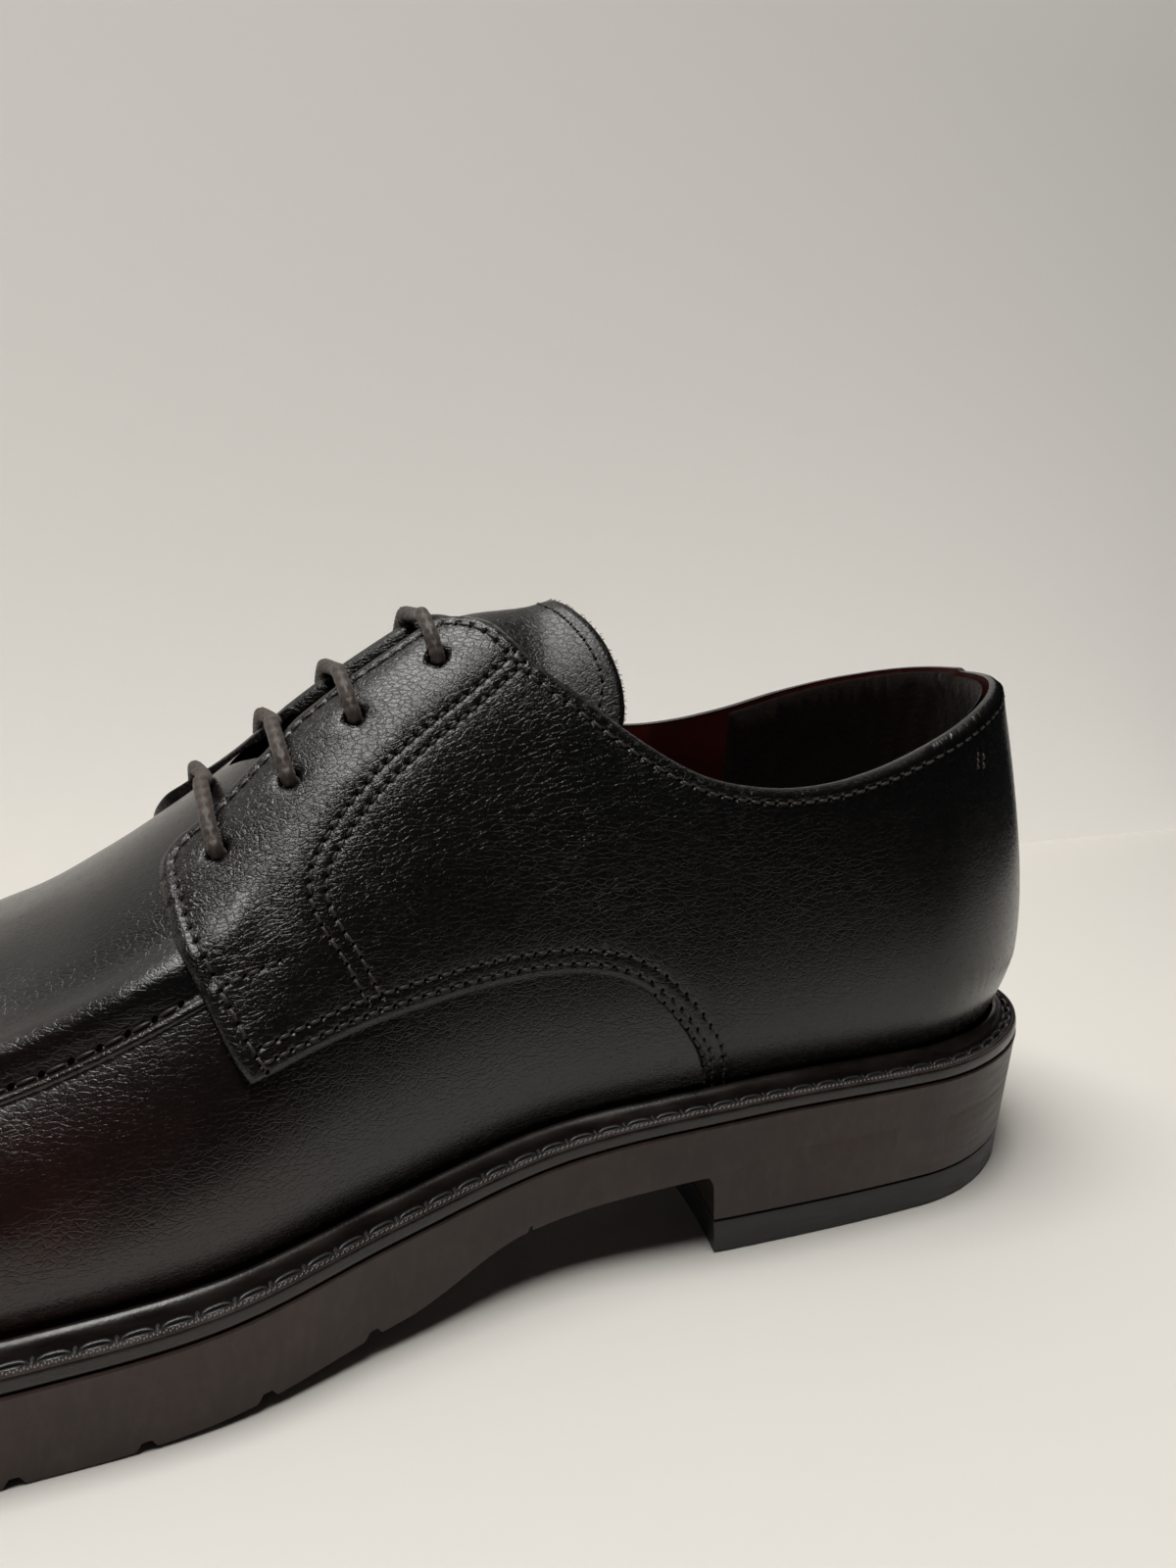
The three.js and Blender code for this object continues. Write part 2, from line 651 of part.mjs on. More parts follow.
function heelBlock(low, high) {
  return planSlab(
    (s) => sideLean(s, HEEL_HEIGHT - high),
    () => high,
    (s) => sideLean(s, HEEL_HEIGHT - low),
    () => low,
  ).intersect(breastPrism());
}

function groove(x, y, width, depth) {
  const box = new THREE.BoxGeometry(LUG_GROOVE, width, 2 * depth);
  box.deleteAttribute('normal');
  box.deleteAttribute('uv');
  const rise = tread(x + LUG_GROOVE) - tread(x - LUG_GROOVE);
  box.rotateY(-Math.atan2(rise, 2 * LUG_GROOVE));
  box.translate(x, y, tread(x));
  return toSolid(mergeVertices(box, 1e-4));
}

const HEEL_SINK = 2;

function outsole() {
  const floor = planSlab(() => 0, deck, (s) => sideLean(s, soleThickness(s.x)), tread);
  const joint = HEEL_HEIGHT - WAIST_THICKNESS + HEEL_SINK;
  let solid = floor.add(heelBlock(TOP_LIFT_THICKNESS + CLEAR, joint));
  for (let i = 0; i < LUG_ROWS; i += 1) {
    const x = FIRST_LUG * SOLE_LENGTH + i * LUG_PITCH;
    const mid = spineY(Math.min(x, TOE_CENTRE));
    const width = 2 * EDGE_LUG_REACH;
    const lateral = section.lateral(x / SOLE_LENGTH) * BALL_HALF;
    const medial = section.medial(x / SOLE_LENGTH) * BALL_HALF;
    solid = solid.subtract(groove(x, lateral, width, EDGE_LUG_DEPTH));
    solid = solid.subtract(groove(x, -medial, width, EDGE_LUG_DEPTH));
    solid = solid.subtract(groove(x + LUG_PITCH / 2, mid, MIDDLE_LUG_WIDTH, LUG_DEPTH));
  }
  return toGeometry(solid);
}

function topLift() {
  return toGeometry(heelBlock(0, TOP_LIFT_THICKNESS));
}

const LACE_POINTS = 6;
const LACE_STEPS = 20;
const LACE_SIDES = 8;

// A bar of lace lies over the facings from one eyelet to the other, pulled
// straight between them, and its ends turn down into the holes
function laceBar(row) {
  const over = QUARTER_STEP + CLEAR + LACE_RADIUS;
  const half = row.down * FLAT;
  const u = row.at * SOLE_LENGTH;
  const points = [];
  for (let i = -LACE_POINTS; i <= LACE_POINTS; i += 1) {
    const v = i / LACE_POINTS * half;
    const sag = LACE_SAG * Math.max(0, 1 - (v / LACE_SAG_WITHIN) ** 2);
    const height = Math.abs(i) === LACE_POINTS ? over - LACE_DIP : over + LACE_LIFT - sag;
    points.push(skinPoint(u, v, height));
  }
  const foot = QUARTER_STEP - UPPER_WALL / 2 + CLEAR / 2;
  const first = skinPoint(u, -half, foot);
  const last = skinPoint(u, half, foot);
  const path = new THREE.CatmullRomCurve3([first, ...points, last]);
  const round = new THREE.Shape();
  for (let i = 0; i < LACE_SIDES; i += 1) {
    const a = i / LACE_SIDES * 2 * Math.PI;
    const [x, y] = [LACE_RADIUS * Math.cos(a), LACE_RADIUS * Math.sin(a)];
    if (i === 0) round.moveTo(x, y);
    else round.lineTo(x, y);
  }
  round.closePath();
  const raw = new THREE.ExtrudeGeometry(round, { steps: LACE_STEPS, extrudePath: path, bevelEnabled: false });
  raw.deleteAttribute('normal');
  raw.deleteAttribute('uv');
  return toGeometry(toSolid(mergeVertices(raw, 1e-4)));
}

// Finishes
const leatherFinish = { color: 0x2b2220, roughness: 0.38, metalness: 0 };
const tongueFinish = { color: 0x2a211f, roughness: 0.45, metalness: 0 };
const weltFinish = { color: 0x241d1b, roughness: 0.5, metalness: 0 };
const soleFinish = { color: 0x4a3833, roughness: 0.45, metalness: 0 };
const liftFinish = { color: 0x232221, roughness: 0.6, metalness: 0 };
const insoleFinish = { color: 0x5b2a22, roughness: 0.6, metalness: 0 };
const laceFinish = { color: 0x4b3b33, roughness: 0.7, metalness: 0 };

const shoe = new THREE.Group();

function place(name, geometry, finish) {
  const mesh = new THREE.Mesh(geometry, new THREE.MeshStandardMaterial(finish));
  mesh.name = name;
  shoe.add(mesh);
}

place('outsole', outsole(), soleFinish);
place('top_lift', topLift(), liftFinish);
place('welt', welt(), weltFinish);
place('insole', insole(), insoleFinish);
place('upper', upper(), leatherFinish);
place('tongue', tongue(), tongueFinish);
EYELETS.forEach((row, i) => place(`lace_bar_${i + 1}`, laceBar(row), laceFinish));

// The origin is under the middle of the shoe's box, on the floor
const box = new THREE.Box3().setFromObject(shoe);
const middle = box.getCenter(new THREE.Vector3());
shoe.position.set(-middle.x, -middle.y, 0);

export default shoe;
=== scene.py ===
import math

import bpy
import numpy as np
from mathutils import Matrix, Vector, geometry, kdtree


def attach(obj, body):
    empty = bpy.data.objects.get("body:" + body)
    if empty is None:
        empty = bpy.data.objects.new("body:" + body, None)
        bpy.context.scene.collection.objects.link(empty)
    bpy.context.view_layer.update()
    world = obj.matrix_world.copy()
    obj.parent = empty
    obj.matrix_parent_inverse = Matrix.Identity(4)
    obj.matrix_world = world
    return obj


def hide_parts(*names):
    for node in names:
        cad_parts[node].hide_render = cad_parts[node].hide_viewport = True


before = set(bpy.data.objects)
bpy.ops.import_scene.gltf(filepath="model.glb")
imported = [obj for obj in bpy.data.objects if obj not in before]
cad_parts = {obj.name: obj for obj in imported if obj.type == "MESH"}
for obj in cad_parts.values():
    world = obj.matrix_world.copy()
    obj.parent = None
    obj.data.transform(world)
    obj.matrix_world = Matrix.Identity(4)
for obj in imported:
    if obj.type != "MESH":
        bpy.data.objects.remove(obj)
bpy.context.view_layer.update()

# Camera
# The photograph was taken close up with a wide lens, from the outer side and a
# little above the shoe, so that the frame's left edge cuts the toe off.
PHOTO_HEIGHT = 1600
SENSOR_SIDE = 36
FOCAL_PIXELS = 1200
CAMERA_PLACE = Vector((0.0189, 0.20306, 0.1121))
CAMERA_YAW = math.radians(21.03)
CAMERA_PITCH = math.radians(9.37)
CAMERA_ROLL = math.radians(0.31)

level = Vector((-math.sin(CAMERA_YAW), -math.cos(CAMERA_YAW), 0))
sideways = Vector((-math.cos(CAMERA_YAW), math.sin(CAMERA_YAW), 0))
straight_up = Vector((0, 0, 1))
ahead = math.cos(CAMERA_PITCH) * level - math.sin(CAMERA_PITCH) * straight_up
above = math.cos(CAMERA_PITCH) * straight_up + math.sin(CAMERA_PITCH) * level
right = math.cos(CAMERA_ROLL) * sideways + math.sin(CAMERA_ROLL) * above
upright = math.cos(CAMERA_ROLL) * above - math.sin(CAMERA_ROLL) * sideways

camera = bpy.data.objects.new("camera", bpy.data.cameras.new("camera"))
camera.data.sensor_width = SENSOR_SIDE
camera.data.lens = FOCAL_PIXELS * SENSOR_SIDE / PHOTO_HEIGHT
camera.data.clip_start = 0.01
turned = Matrix((right, upright, -ahead)).transposed().to_4x4()
camera.matrix_world = Matrix.Translation(CAMERA_PLACE) @ turned
bpy.context.scene.collection.objects.link(camera)
bpy.context.scene.camera = camera

# Outsole
# One moulded rubber unit with its block heel, arch, toe spring and lugs. Its
# side is dyed dark brown and buffed, with faint brush marks along it. Its colour
# is painted lighter towards the toe, painted light where the forepart is lit.
# Lengths are millimetres until a mesh is made; x runs from the heel to the toe.
SOLE_LENGTH = 302
BALL_HALF = 54
HEEL_HEIGHT = 25.4
SOLE_THICKNESS = 13.4
WAIST_THICKNESS = 9.6
PAD_STARTS = 0.385
PAD_FULL = 0.455
TOE_SPRING = 8.6
INSTEP_RISE = 88.5
COUNTER_BULGE = 4.4
HEEL_ROUND = 40
TOE_ROUND = 62
HEEL_SQUARENESS = 2.15
TOE_SQUARENESS = 2.2
TOE_CENTRE = SOLE_LENGTH - TOE_ROUND
TOP_LIFT_THICKNESS = 6.3
HEEL_LENGTH = 83
BREAST_HOLLOW = 4.5
BREAST_HALF = 38
HEEL_TAPER = 0.118
FOREPART_TAPER = 0.06
TREAD_FLAT = 0.25
LUG_DEPTH = 2.6
LUG_PITCH = 15.7
LUG_ROWS = 8
FIRST_LUG = 142.5
EDGE_LUG_DEPTH = 1.5
EDGE_LUG_REACH = 25
MIDDLE_LUG_WIDTH = 30
WAIST_NOTCH = 116.0
CLEAR = 0.3
PART_MIDDLE = np.array([SOLE_LENGTH / 2, -1.159, 0])
MILLIMETRE = 0.001

SECTION_COLUMNS = ("at", "lateral", "medial", "rise", "spring", "ridge", "full", "bulge", "belly")
SECTIONS = np.array([
    (-0.10, 0.62, 0.62, 1, 0, 1.52, 2.15, 1.05, 0.26),
    (0.00, 0.62, 0.62, 1, 0, 1.44, 2.15, 1.0, 0.26),
    (0.13, 0.715, 0.70, 1, 0, 1.31, 2.15, 0.64, 0.24),
    (0.26, 0.73, 0.69, 0.97, 0, 1.135, 2.06, 0.46, 0.22),
    (0.37, 0.70, 0.62, 0.68, 0, 0.99, 2.0, 0.42, 0.20),
    (0.46, 0.82, 0.70, 0.35, 0, 0.845, 2.0, 0.42, 0.18),
    (0.54, 0.965, 0.86, 0.10, 0, 0.665, 2.02, 0.42, 0.16),
    (0.62, 1.0, 1.0, 0, 0, 0.51, 2.1, 0.42, 0.14),
    (0.70, 1.005, 1.05, 0, 0.01, 0.43, 2.2, 0.42, 0.13),
    (0.78, 0.98, 1.02, 0, 0.12, 0.39, 2.3, 0.42, 0.12),
    (0.88, 0.90, 0.92, 0, 0.42, 0.355, 2.45, 0.42, 0.12),
    (1.00, 0.78, 0.78, 0, 1, 0.31, 2.5, 0.42, 0.12),
])


def smooth_curve(places, values):
    steps = np.diff(values) / np.diff(places)
    before = places[1:-1] - places[:-2]
    after = places[2:] - places[1:-1]
    inner = (steps[:-1] * after + steps[1:] * before) / (before + after)
    slopes = np.concatenate([steps[:1], inner, steps[-1:]])

    def value(at):
        at = np.asarray(at, float)
        i = np.clip(np.searchsorted(places, at) - 1, 0, len(places) - 2)
        span = places[i + 1] - places[i]
        t = (at - places[i]) / span
        s = 1 - t
        inside = (1 + 2 * t) * s * s * values[i] + t * s * s * span * slopes[i]
        inside += t * t * (3 - 2 * t) * values[i + 1] - t * t * s * span * slopes[i + 1]
        low = values[0] + slopes[0] * (at - places[0])
        high = values[-1] + slopes[-1] * (at - places[-1])
        return np.where(at <= places[0], low, np.where(at >= places[-1], high, inside))

    return value


section = {
    name: smooth_curve(SECTIONS[:, 0], SECTIONS[:, column])
    for column, name in enumerate(SECTION_COLUMNS) if column > 0
}


def deck(x):
    at = x / SOLE_LENGTH
    lift = (HEEL_HEIGHT - SOLE_THICKNESS) * section["rise"](at)
    return SOLE_THICKNESS + lift + TOE_SPRING * section["spring"](at)


def ramp(value, low, high):
    t = np.clip((value - low) / (high - low), 0, 1)
    return t * t * (3 - 2 * t)


def sole_thickness(x):
    return WAIST_THICKNESS + (SOLE_THICKNESS - WAIST_THICKNESS) * ramp(x / SOLE_LENGTH, PAD_STARTS, PAD_FULL)


def tread(x):
    return np.maximum(0, deck(x) - sole_thickness(x) - TREAD_FLAT)


def spine_y(x):
    at = x / SOLE_LENGTH
    return (section["lateral"](at) - section["medial"](at)) * BALL_HALF / 2


def outline_point(station, inset):
    x, end, turn, side = station
    rounding = np.where(end > 0, TOE_ROUND, HEEL_ROUND) - inset
    square = 2 / np.where(end > 0, TOE_SQUARENESS, HEEL_SQUARENESS)
    along = end * rounding * np.sin(turn) ** square
    cap = np.where(end == 0, 1, np.maximum(0, np.cos(turn)) ** square)
    at = (x + along) / SOLE_LENGTH
    lateral = section["lateral"](at) * BALL_HALF - inset
    medial = section["medial"](at) * BALL_HALF - inset
    y = (lateral - medial) / 2 + side * (lateral + medial) / 2 * cap
    return x + along, y


def station_at(way):
    """Place on the way round the sole: 0 to 1 is the outer half of the heel, 1 to
    2 the outer side, 2 to 4 the toe, 4 to 5 the inner side, 5 to 6 the heel."""
    way = np.mod(way, 6)
    side = np.where(way < 3, 1, -1)
    near = np.where(way < 3, way, 6 - way)
    x = HEEL_ROUND + (TOE_CENTRE - HEEL_ROUND) * np.clip(near - 1, 0, 1)
    end = np.where(near < 1, -1, np.where(near > 2, 1, 0))
    turn = np.where(near < 1, 1 - near, np.where(near > 2, near - 2, 0)) * math.pi / 2
    return x, end, turn, side


def even_ways(count, inset=0):
    """Ways round the sole that are evenly spaced in plan along its outline."""
    ways = np.linspace(0, 6, 6001)
    x, y = outline_point(station_at(ways), inset)
    lengths = np.concatenate([[0], np.cumsum(np.hypot(np.diff(x), np.diff(y)))])
    return np.interp(np.arange(count) / count * lengths[-1], lengths, ways)


def make_piece(name, points, faces):
    mesh = bpy.data.meshes.new(name)
    placed = (np.asarray(points, float) - PART_MIDDLE) * MILLIMETRE
    mesh.from_pydata(placed.tolist(), [], faces)
    mesh.validate()
    mesh.shade_smooth()
    piece = bpy.data.objects.new(name, mesh)
    bpy.context.scene.collection.objects.link(piece)
    return piece


def grid_faces(rows, columns, wrap, first=0):
    """Quads of a grid whose columns close up where wrap is set."""
    faces = []
    for r in range(rows - 1):
        for c in range(columns if wrap else columns - 1):
            d = (c + 1) % columns
            low = first + r * columns
            high = low + columns
            faces.append((low + c, low + d, high + d, high + c))
    return faces


def plan_points(ways, inset, share, height_at):
    station = station_at(ways)
    x, y = outline_point(station, inset)
    middle = spine_y(station[0])
    x = station[0] + (x - station[0]) * share
    y = middle + (y - middle) * share
    return np.stack([x, y, height_at(x) + 0 * x], axis=1)


def plan_block(name, ways, side_rows, top, bottom):
    """Closed block on the sole's plan. side_rows run from the top edge to the
    bottom edge as (inset, height function)."""
    shares = (0.02, 0.2, 0.4, 0.6, 0.8, 0.93)
    rows = [plan_points(ways, side_rows[0][0], share, top) for share in shares]
    rows += [plan_points(ways, inset, 1, height) for inset, height in side_rows]
    rows += [plan_points(ways, side_rows[-1][0], share, bottom) for share in shares[::-1]]
    faces = grid_faces(len(rows), len(ways), True)
    last = (len(rows) - 1) * len(ways)
    faces.append(tuple(range(len(ways)))[::-1])
    faces.append(tuple(range(last, last + len(ways))))
    piece = make_piece(name, np.concatenate(rows), [face[::-1] for face in faces])
    return piece


def cut_with(piece, tool, operation):
    change = piece.modifiers.new("cut", "BOOLEAN")
    change.operation = operation
    change.solver = "EXACT"
    change.object = tool
    settled = piece.evaluated_get(bpy.context.evaluated_depsgraph_get())
    mesh = bpy.data.meshes.new_from_object(settled)
    piece.modifiers.clear()
    piece.data = mesh
    bpy.data.objects.remove(tool)


def lean_inset(ways, drop):
    x = station_at(ways)[0]
    return (FOREPART_TAPER + (HEEL_TAPER - FOREPART_TAPER) * section["rise"](x / SOLE_LENGTH)) * drop


# Outline of the breast seen from the side: height and place ahead of the heel's
# length, with a hollow where it meets the waist
BREAST = ((-9, -0.53), (12.7, 0.74), (13.7, 0.95), (14.6, 1.45), (15.3, 2.3), (15.7, 3.3), (60, 3.3))


def breast_prism(reach):
    across = np.linspace(-1, 1, 25)
    hollow = BREAST_HOLLOW * (1 - across ** 2)
    outline = [(-reach, BALL_HALF), (-reach, -BALL_HALF)]
    outline += [(HEEL_LENGTH - deep, share * BREAST_HALF) for share, deep in zip(across, hollow)]
    count = len(outline)
    points = [(x + (ahead if x > 0 else 0), y, z) for z, ahead in BREAST for x, y in outline]
    faces = grid_faces(len(BREAST), count, True)
    last = (len(BREAST) - 1) * count
    faces.append(tuple(range(count))[::-1])
    faces.append(tuple(last + i for i in range(count)))
    return make_piece("breast", points, faces)


def heel_block(name, ways, low, high, rounding):
    def row(height, inset):
        return lean_inset(ways, HEEL_HEIGHT - height) + inset, lambda x: height

    rows = [row(high, rounding), row(high - 0.3 * rounding, 0.3 * rounding), row(high - rounding, 0)]
    rows += [row(low + rounding, 0), row(low + 0.3 * rounding, 0.3 * rounding), row(low, rounding)]
    block = plan_block(name, ways, rows, lambda x: high, lambda x: low)
    cut_with(block, breast_prism(SOLE_LENGTH), "INTERSECT")
    return block


def groove_places():
    """Each groove of the tread as x, y, length, half width above and below, and depth."""
    places = []
    for row in range(LUG_ROWS):
        x = FIRST_LUG + row * LUG_PITCH
        at = x / SOLE_LENGTH
        middle = spine_y(min(x, TOE_CENTRE))
        for edge in (section["lateral"](at) * BALL_HALF, -section["medial"](at) * BALL_HALF):
            places.append((x, edge, 2 * EDGE_LUG_REACH, 0.6, 2.5, EDGE_LUG_DEPTH))
        places.append((x + LUG_PITCH / 2, middle, MIDDLE_LUG_WIDTH, 1.3, 1.8, LUG_DEPTH))
    notch = section["lateral"](WAIST_NOTCH / SOLE_LENGTH) * BALL_HALF
    places.append((WAIST_NOTCH, notch, 8, 0.3, 0.7, 1.2))
    return places


def lug_grooves():
    points = []
    faces = []
    for x, y, length, half_above, half_below, depth in groove_places():
        slope = (tread(x + 1.5) - tread(x - 1.5)) / 3
        first = len(points)
        for up, half in ((-depth, half_below), (depth, half_above)):
            for turn_x, turn_y in ((-1, -1), (1, -1), (1, 1), (-1, 1)):
                dx, dy = turn_x * half, turn_y * length / 2
                points.append((x + dx, y + dy, tread(x) + up + slope * dx))
        box = [(3, 2, 1, 0), (4, 5, 6, 7), (0, 1, 5, 4), (1, 2, 6, 5), (2, 3, 7, 6), (3, 0, 4, 7)]
        faces += [tuple(first + i for i in face) for face in box]
    return make_piece("grooves", points, faces)


def outsole_body():
    ways = even_ways(420)
    rounding = 0.7
    drop = lean_inset(ways, sole_thickness(station_at(ways)[0]))

    def between(share):
        return share * drop, lambda x: deck(x) + share * (tread(x) - deck(x))

    rows = [(0.4, deck), (0.05, lambda x: deck(x) - 0.1), (-0.08, lambda x: deck(x) - 0.35),
            (0, lambda x: deck(x) - 0.7), between(0.25), between(0.5), between(0.75)]
    rows += [(drop, lambda x: tread(x) + rounding),
             (drop + 0.3 * rounding, lambda x: tread(x) + 0.3 * rounding), (drop + rounding, tread)]
    body = plan_block("outsole", ways, rows, deck, tread)
    joint = HEEL_HEIGHT - WAIST_THICKNESS + 2
    block = heel_block("heel", ways, TOP_LIFT_THICKNESS + CLEAR, joint, 0.25)
    cut_with(body, block, "UNION")
    cut_with(body, lug_grooves(), "DIFFERENCE")
    body.data.set_sharp_from_angle(angle=math.radians(35))
    return body


def new_material(name, color, roughness):
    material = bpy.data.materials.new(name)
    material.use_nodes = True
    shader = material.node_tree.nodes["Principled BSDF"]
    shader.inputs["Base Color"].default_value = (*color, 1)
    shader.inputs["Roughness"].default_value = roughness
    return material, material.node_tree, shader


def add_node(tree, kind, **values):
    """Adds a node. A value is a setting of the node, or of the socket of that
    name with spaces for underscores."""
    node = tree.nodes.new("ShaderNode" + kind)
    for key, value in values.items():
        socket = key.replace("_", " ")
        if socket in node.inputs:
            if isinstance(value, bpy.types.NodeSocket):
                tree.links.new(value, node.inputs[socket])
            else:
                node.inputs[socket].default_value = value
        else:
            setattr(node, key, value)
    return node


def stretched(tree, scale):
    place = add_node(tree, "TexCoord")
    return add_node(tree, "Mapping", Vector=place.outputs["Object"], Scale=scale).outputs["Vector"]


def noise(tree, vector, scale, detail=3.0, roughness=0.5, distortion=0.0):
    node = add_node(tree, "TexNoise", Vector=vector, Scale=scale, Detail=detail)
    node.inputs["Roughness"].default_value = roughness
    node.inputs["Distortion"].default_value = distortion
    return node.outputs["Fac"]


def remap(tree, value, low, high, to_low, to_high):
    node = add_node(tree, "MapRange", Value=value)
    for name, number in (("From Min", low), ("From Max", high), ("To Min", to_low), ("To Max", to_high)):
        node.inputs[name].default_value = number
    return node.outputs["Result"]


def blend_colors(tree, share, first, second):
    node = tree.nodes.new("ShaderNodeMix")
    node.data_type = "RGBA"
    tree.links.new(share, node.inputs["Factor"])
    for socket, color in (("A", first), ("B", second)):
        target = [s for s in node.inputs if s.name == socket and s.type == "RGBA"][0]
        if isinstance(color, bpy.types.NodeSocket):
            tree.links.new(color, target)
        else:
            target.default_value = (*color, 1)
    return [s for s in node.outputs if s.type == "RGBA"][0]


def combine(tree, operation, first, second):
    node = tree.nodes.new("ShaderNodeMath")
    node.operation = operation
    for socket, value in zip(node.inputs, (first, second)):
        if isinstance(value, bpy.types.NodeSocket):
            tree.links.new(value, socket)
        else:
            socket.default_value = value
    return node.outputs["Value"]


def share_along(tree, axis, low, high, at_low=0.0, at_high=1.0):
    """A value that changes along an axis of the shoe, between two places in metres."""
    place = add_node(tree, "TexCoord")
    split = add_node(tree, "SeparateXYZ", Vector=place.outputs["Object"])
    return remap(tree, split.outputs[axis], low, high, at_low, at_high)


def set_bump(tree, shader, heights):
    """Chains one bump for each (height, strength, distance in metres)."""
    normal = None
    for height, strength, distance in heights:
        bump = add_node(tree, "Bump", Height=height, Distance=distance)
        if isinstance(strength, bpy.types.NodeSocket):
            tree.links.new(strength, bump.inputs["Strength"])
        else:
            bump.inputs["Strength"].default_value = strength
        if normal:
            tree.links.new(normal, bump.inputs["Normal"])
        normal = bump.outputs["Normal"]
    tree.links.new(normal, shader.inputs["Normal"])


def sole_material_with_painted_light():
    # The worn colour serves both the random rubbed patches and the painted light towards the toe.
    brown, worn = (0.022, 0.0122, 0.0104), (0.052, 0.033, 0.028)
    material, tree, shader = new_material("buffed_rubber_painted_toe_light", brown, 0.42)
    brush = noise(tree, stretched(tree, (90, 90, 900)), 1.0, 4.0, 0.6)
    strokes = noise(tree, stretched(tree, (520, 520, 200)), 1.0, 4.0, 0.6, 0.8)
    patches = noise(tree, stretched(tree, (30, 30, 45)), 1.0, 3.0, 0.55, 0.6)
    patchy = remap(tree, patches, 0.3, 0.7, 0, 0.6)
    share = combine(tree, "ADD", patchy, remap(tree, brush, 0.3, 0.7, 0, 0.25))
    share = combine(tree, "ADD", share, remap(tree, strokes, 0.45, 0.75, 0, 0.5))
    # Painted light: the side is made lighter towards the toe, where the forepart is lit.
    share = combine(tree, "ADD", share, share_along(tree, "X", -0.03, 0.11, -0.15, 0.55))
    color = blend_colors(tree, share, brown, worn)
    tree.links.new(color, shader.inputs["Base Color"])
    tree.links.new(remap(tree, brush, 0.3, 0.7, 0.36, 0.52), shader.inputs["Roughness"])
    pores = noise(tree, stretched(tree, (1, 1, 1)), 1400.0, 3.0)
    shader.inputs["Specular IOR Level"].default_value = 0.35
    set_bump(tree, shader, [(brush, 0.35, 0.0001), (strokes, 0.4, 0.00012), (pores, 0.25, 0.00006)])
    return material


def dress(piece, material, slot, *nodes):
    piece.data.materials.clear()
    piece.data.materials.append(material)
    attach(piece, "root")
    if nodes:
        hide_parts(*nodes)


sole_rubber = sole_material_with_painted_light()
outsole = outsole_body()
dress(outsole, sole_rubber, "sole_unit", "outsole")

# Top lift
# The wearing piece of the heel, a slab of harder black rubber that is glued
# under the block and buffed flush with it.


def lift_material():
    black = (0.0085, 0.009, 0.010)
    material, tree, shader = new_material("black_rubber", black, 0.5)
    brush = noise(tree, stretched(tree, (160, 160, 1500)), 1.0, 4.0, 0.6)
    grit = noise(tree, stretched(tree, (1, 1, 1)), 1900.0, 2.0)
    tree.links.new(blend_colors(tree, brush, black, (0.019, 0.020, 0.022)), shader.inputs["Base Color"])
    tree.links.new(remap(tree, brush, 0.3, 0.7, 0.42, 0.6), shader.inputs["Roughness"])
    set_bump(tree, shader, [(brush, 0.25, 0.00008), (grit, 0.3, 0.00006)])
    return material


top_lift = heel_block("top_lift", even_ways(420), 0, TOP_LIFT_THICKNESS, 0.5)
top_lift.data.set_sharp_from_angle(angle=math.radians(35))
dress(top_lift, lift_material(), "top_lift", "top_lift")

# Welt
# A storm welt of dark leather runs all round. Its inner edge is a raised lip
# that closes on the upper, and its outer edge is a knurled bead.
LIP_HEIGHT = 5
WELT_REACH = 6
WELT_ROWS = (
    # inset from the sole's edge, height over the deck
    (1.2, 0.25), (0.5, 0.22), (0.2, 0.36), (0.04, 0.7), (0.0, 1.1), (0.0, 1.6), (0.03, 2.0), (0.12, 2.35),
    (0.3, 2.62), (0.6, 2.78), (0.95, 2.74), (1.15, 2.45), (1.3, 2.15), (1.6, 1.98), (2.0, 1.94), (2.35, 2.02),
    (2.6, 2.3), (2.75, 2.8), (2.95, 3.4), (3.25, 4.0), (3.65, 4.5), (4.1, 4.82), (4.5, 4.95), (4.85, 4.85),
    (5.1, 4.5), (5.28, 4.0), (5.42, 3.4), (5.55, 2.6), (5.6, 1.5), (5.6, 0.25),
)
KNURL_PITCH = 0.8
KNURL_SAMPLES = 4


def welt_body():
    ways = even_ways(900)
    station = station_at(ways)
    wander = 0.12 * np.sin(ways * 9.0) + 0.08 * np.sin(ways * 23.0 + 1)
    points = []
    for inset, height in WELT_ROWS:
        x, y = outline_point(station, inset)
        sway = np.where(height > 3.2, wander, 0)
        points.append(np.stack([x, y, deck(x) + height + sway], axis=1))
    rows = len(points)
    faces = grid_faces(rows, len(ways), True)
    last = (rows - 1) * len(ways)
    for c in range(len(ways)):
        d = (c + 1) % len(ways)
        faces.append((last + c, last + d, d, c))
    return make_piece("welt", np.concatenate(points), faces)


def knurled_bead():
    """Low ribs across the welt's outer shoulder."""
    ways = np.linspace(0, 6, 6001)
    x, y = outline_point(station_at(ways), 0.9)
    around = np.hypot(np.diff(x), np.diff(y)).sum()
    knurls = int(around / KNURL_PITCH)
    count = knurls * KNURL_SAMPLES
    rib = 0.5 - 0.5 * np.cos(np.arange(count) / KNURL_SAMPLES * 2 * math.pi)
    station = station_at(even_ways(count, 0.9))
    points = []
    for inset, height, rise in ((0.16, 2.3, 0), (0.2, 2.6, 0.16), (0.42, 2.8, 0.3), (0.72, 2.84, 0.34),
                                (0.98, 2.76, 0.26), (1.16, 2.4, 0)):
        x, y = outline_point(station, inset)
        points.append(np.stack([x, y, deck(x) + height + rise * rib], axis=1))
    return make_piece("knurled_bead", np.concatenate(points), grid_faces(len(points), count, True))


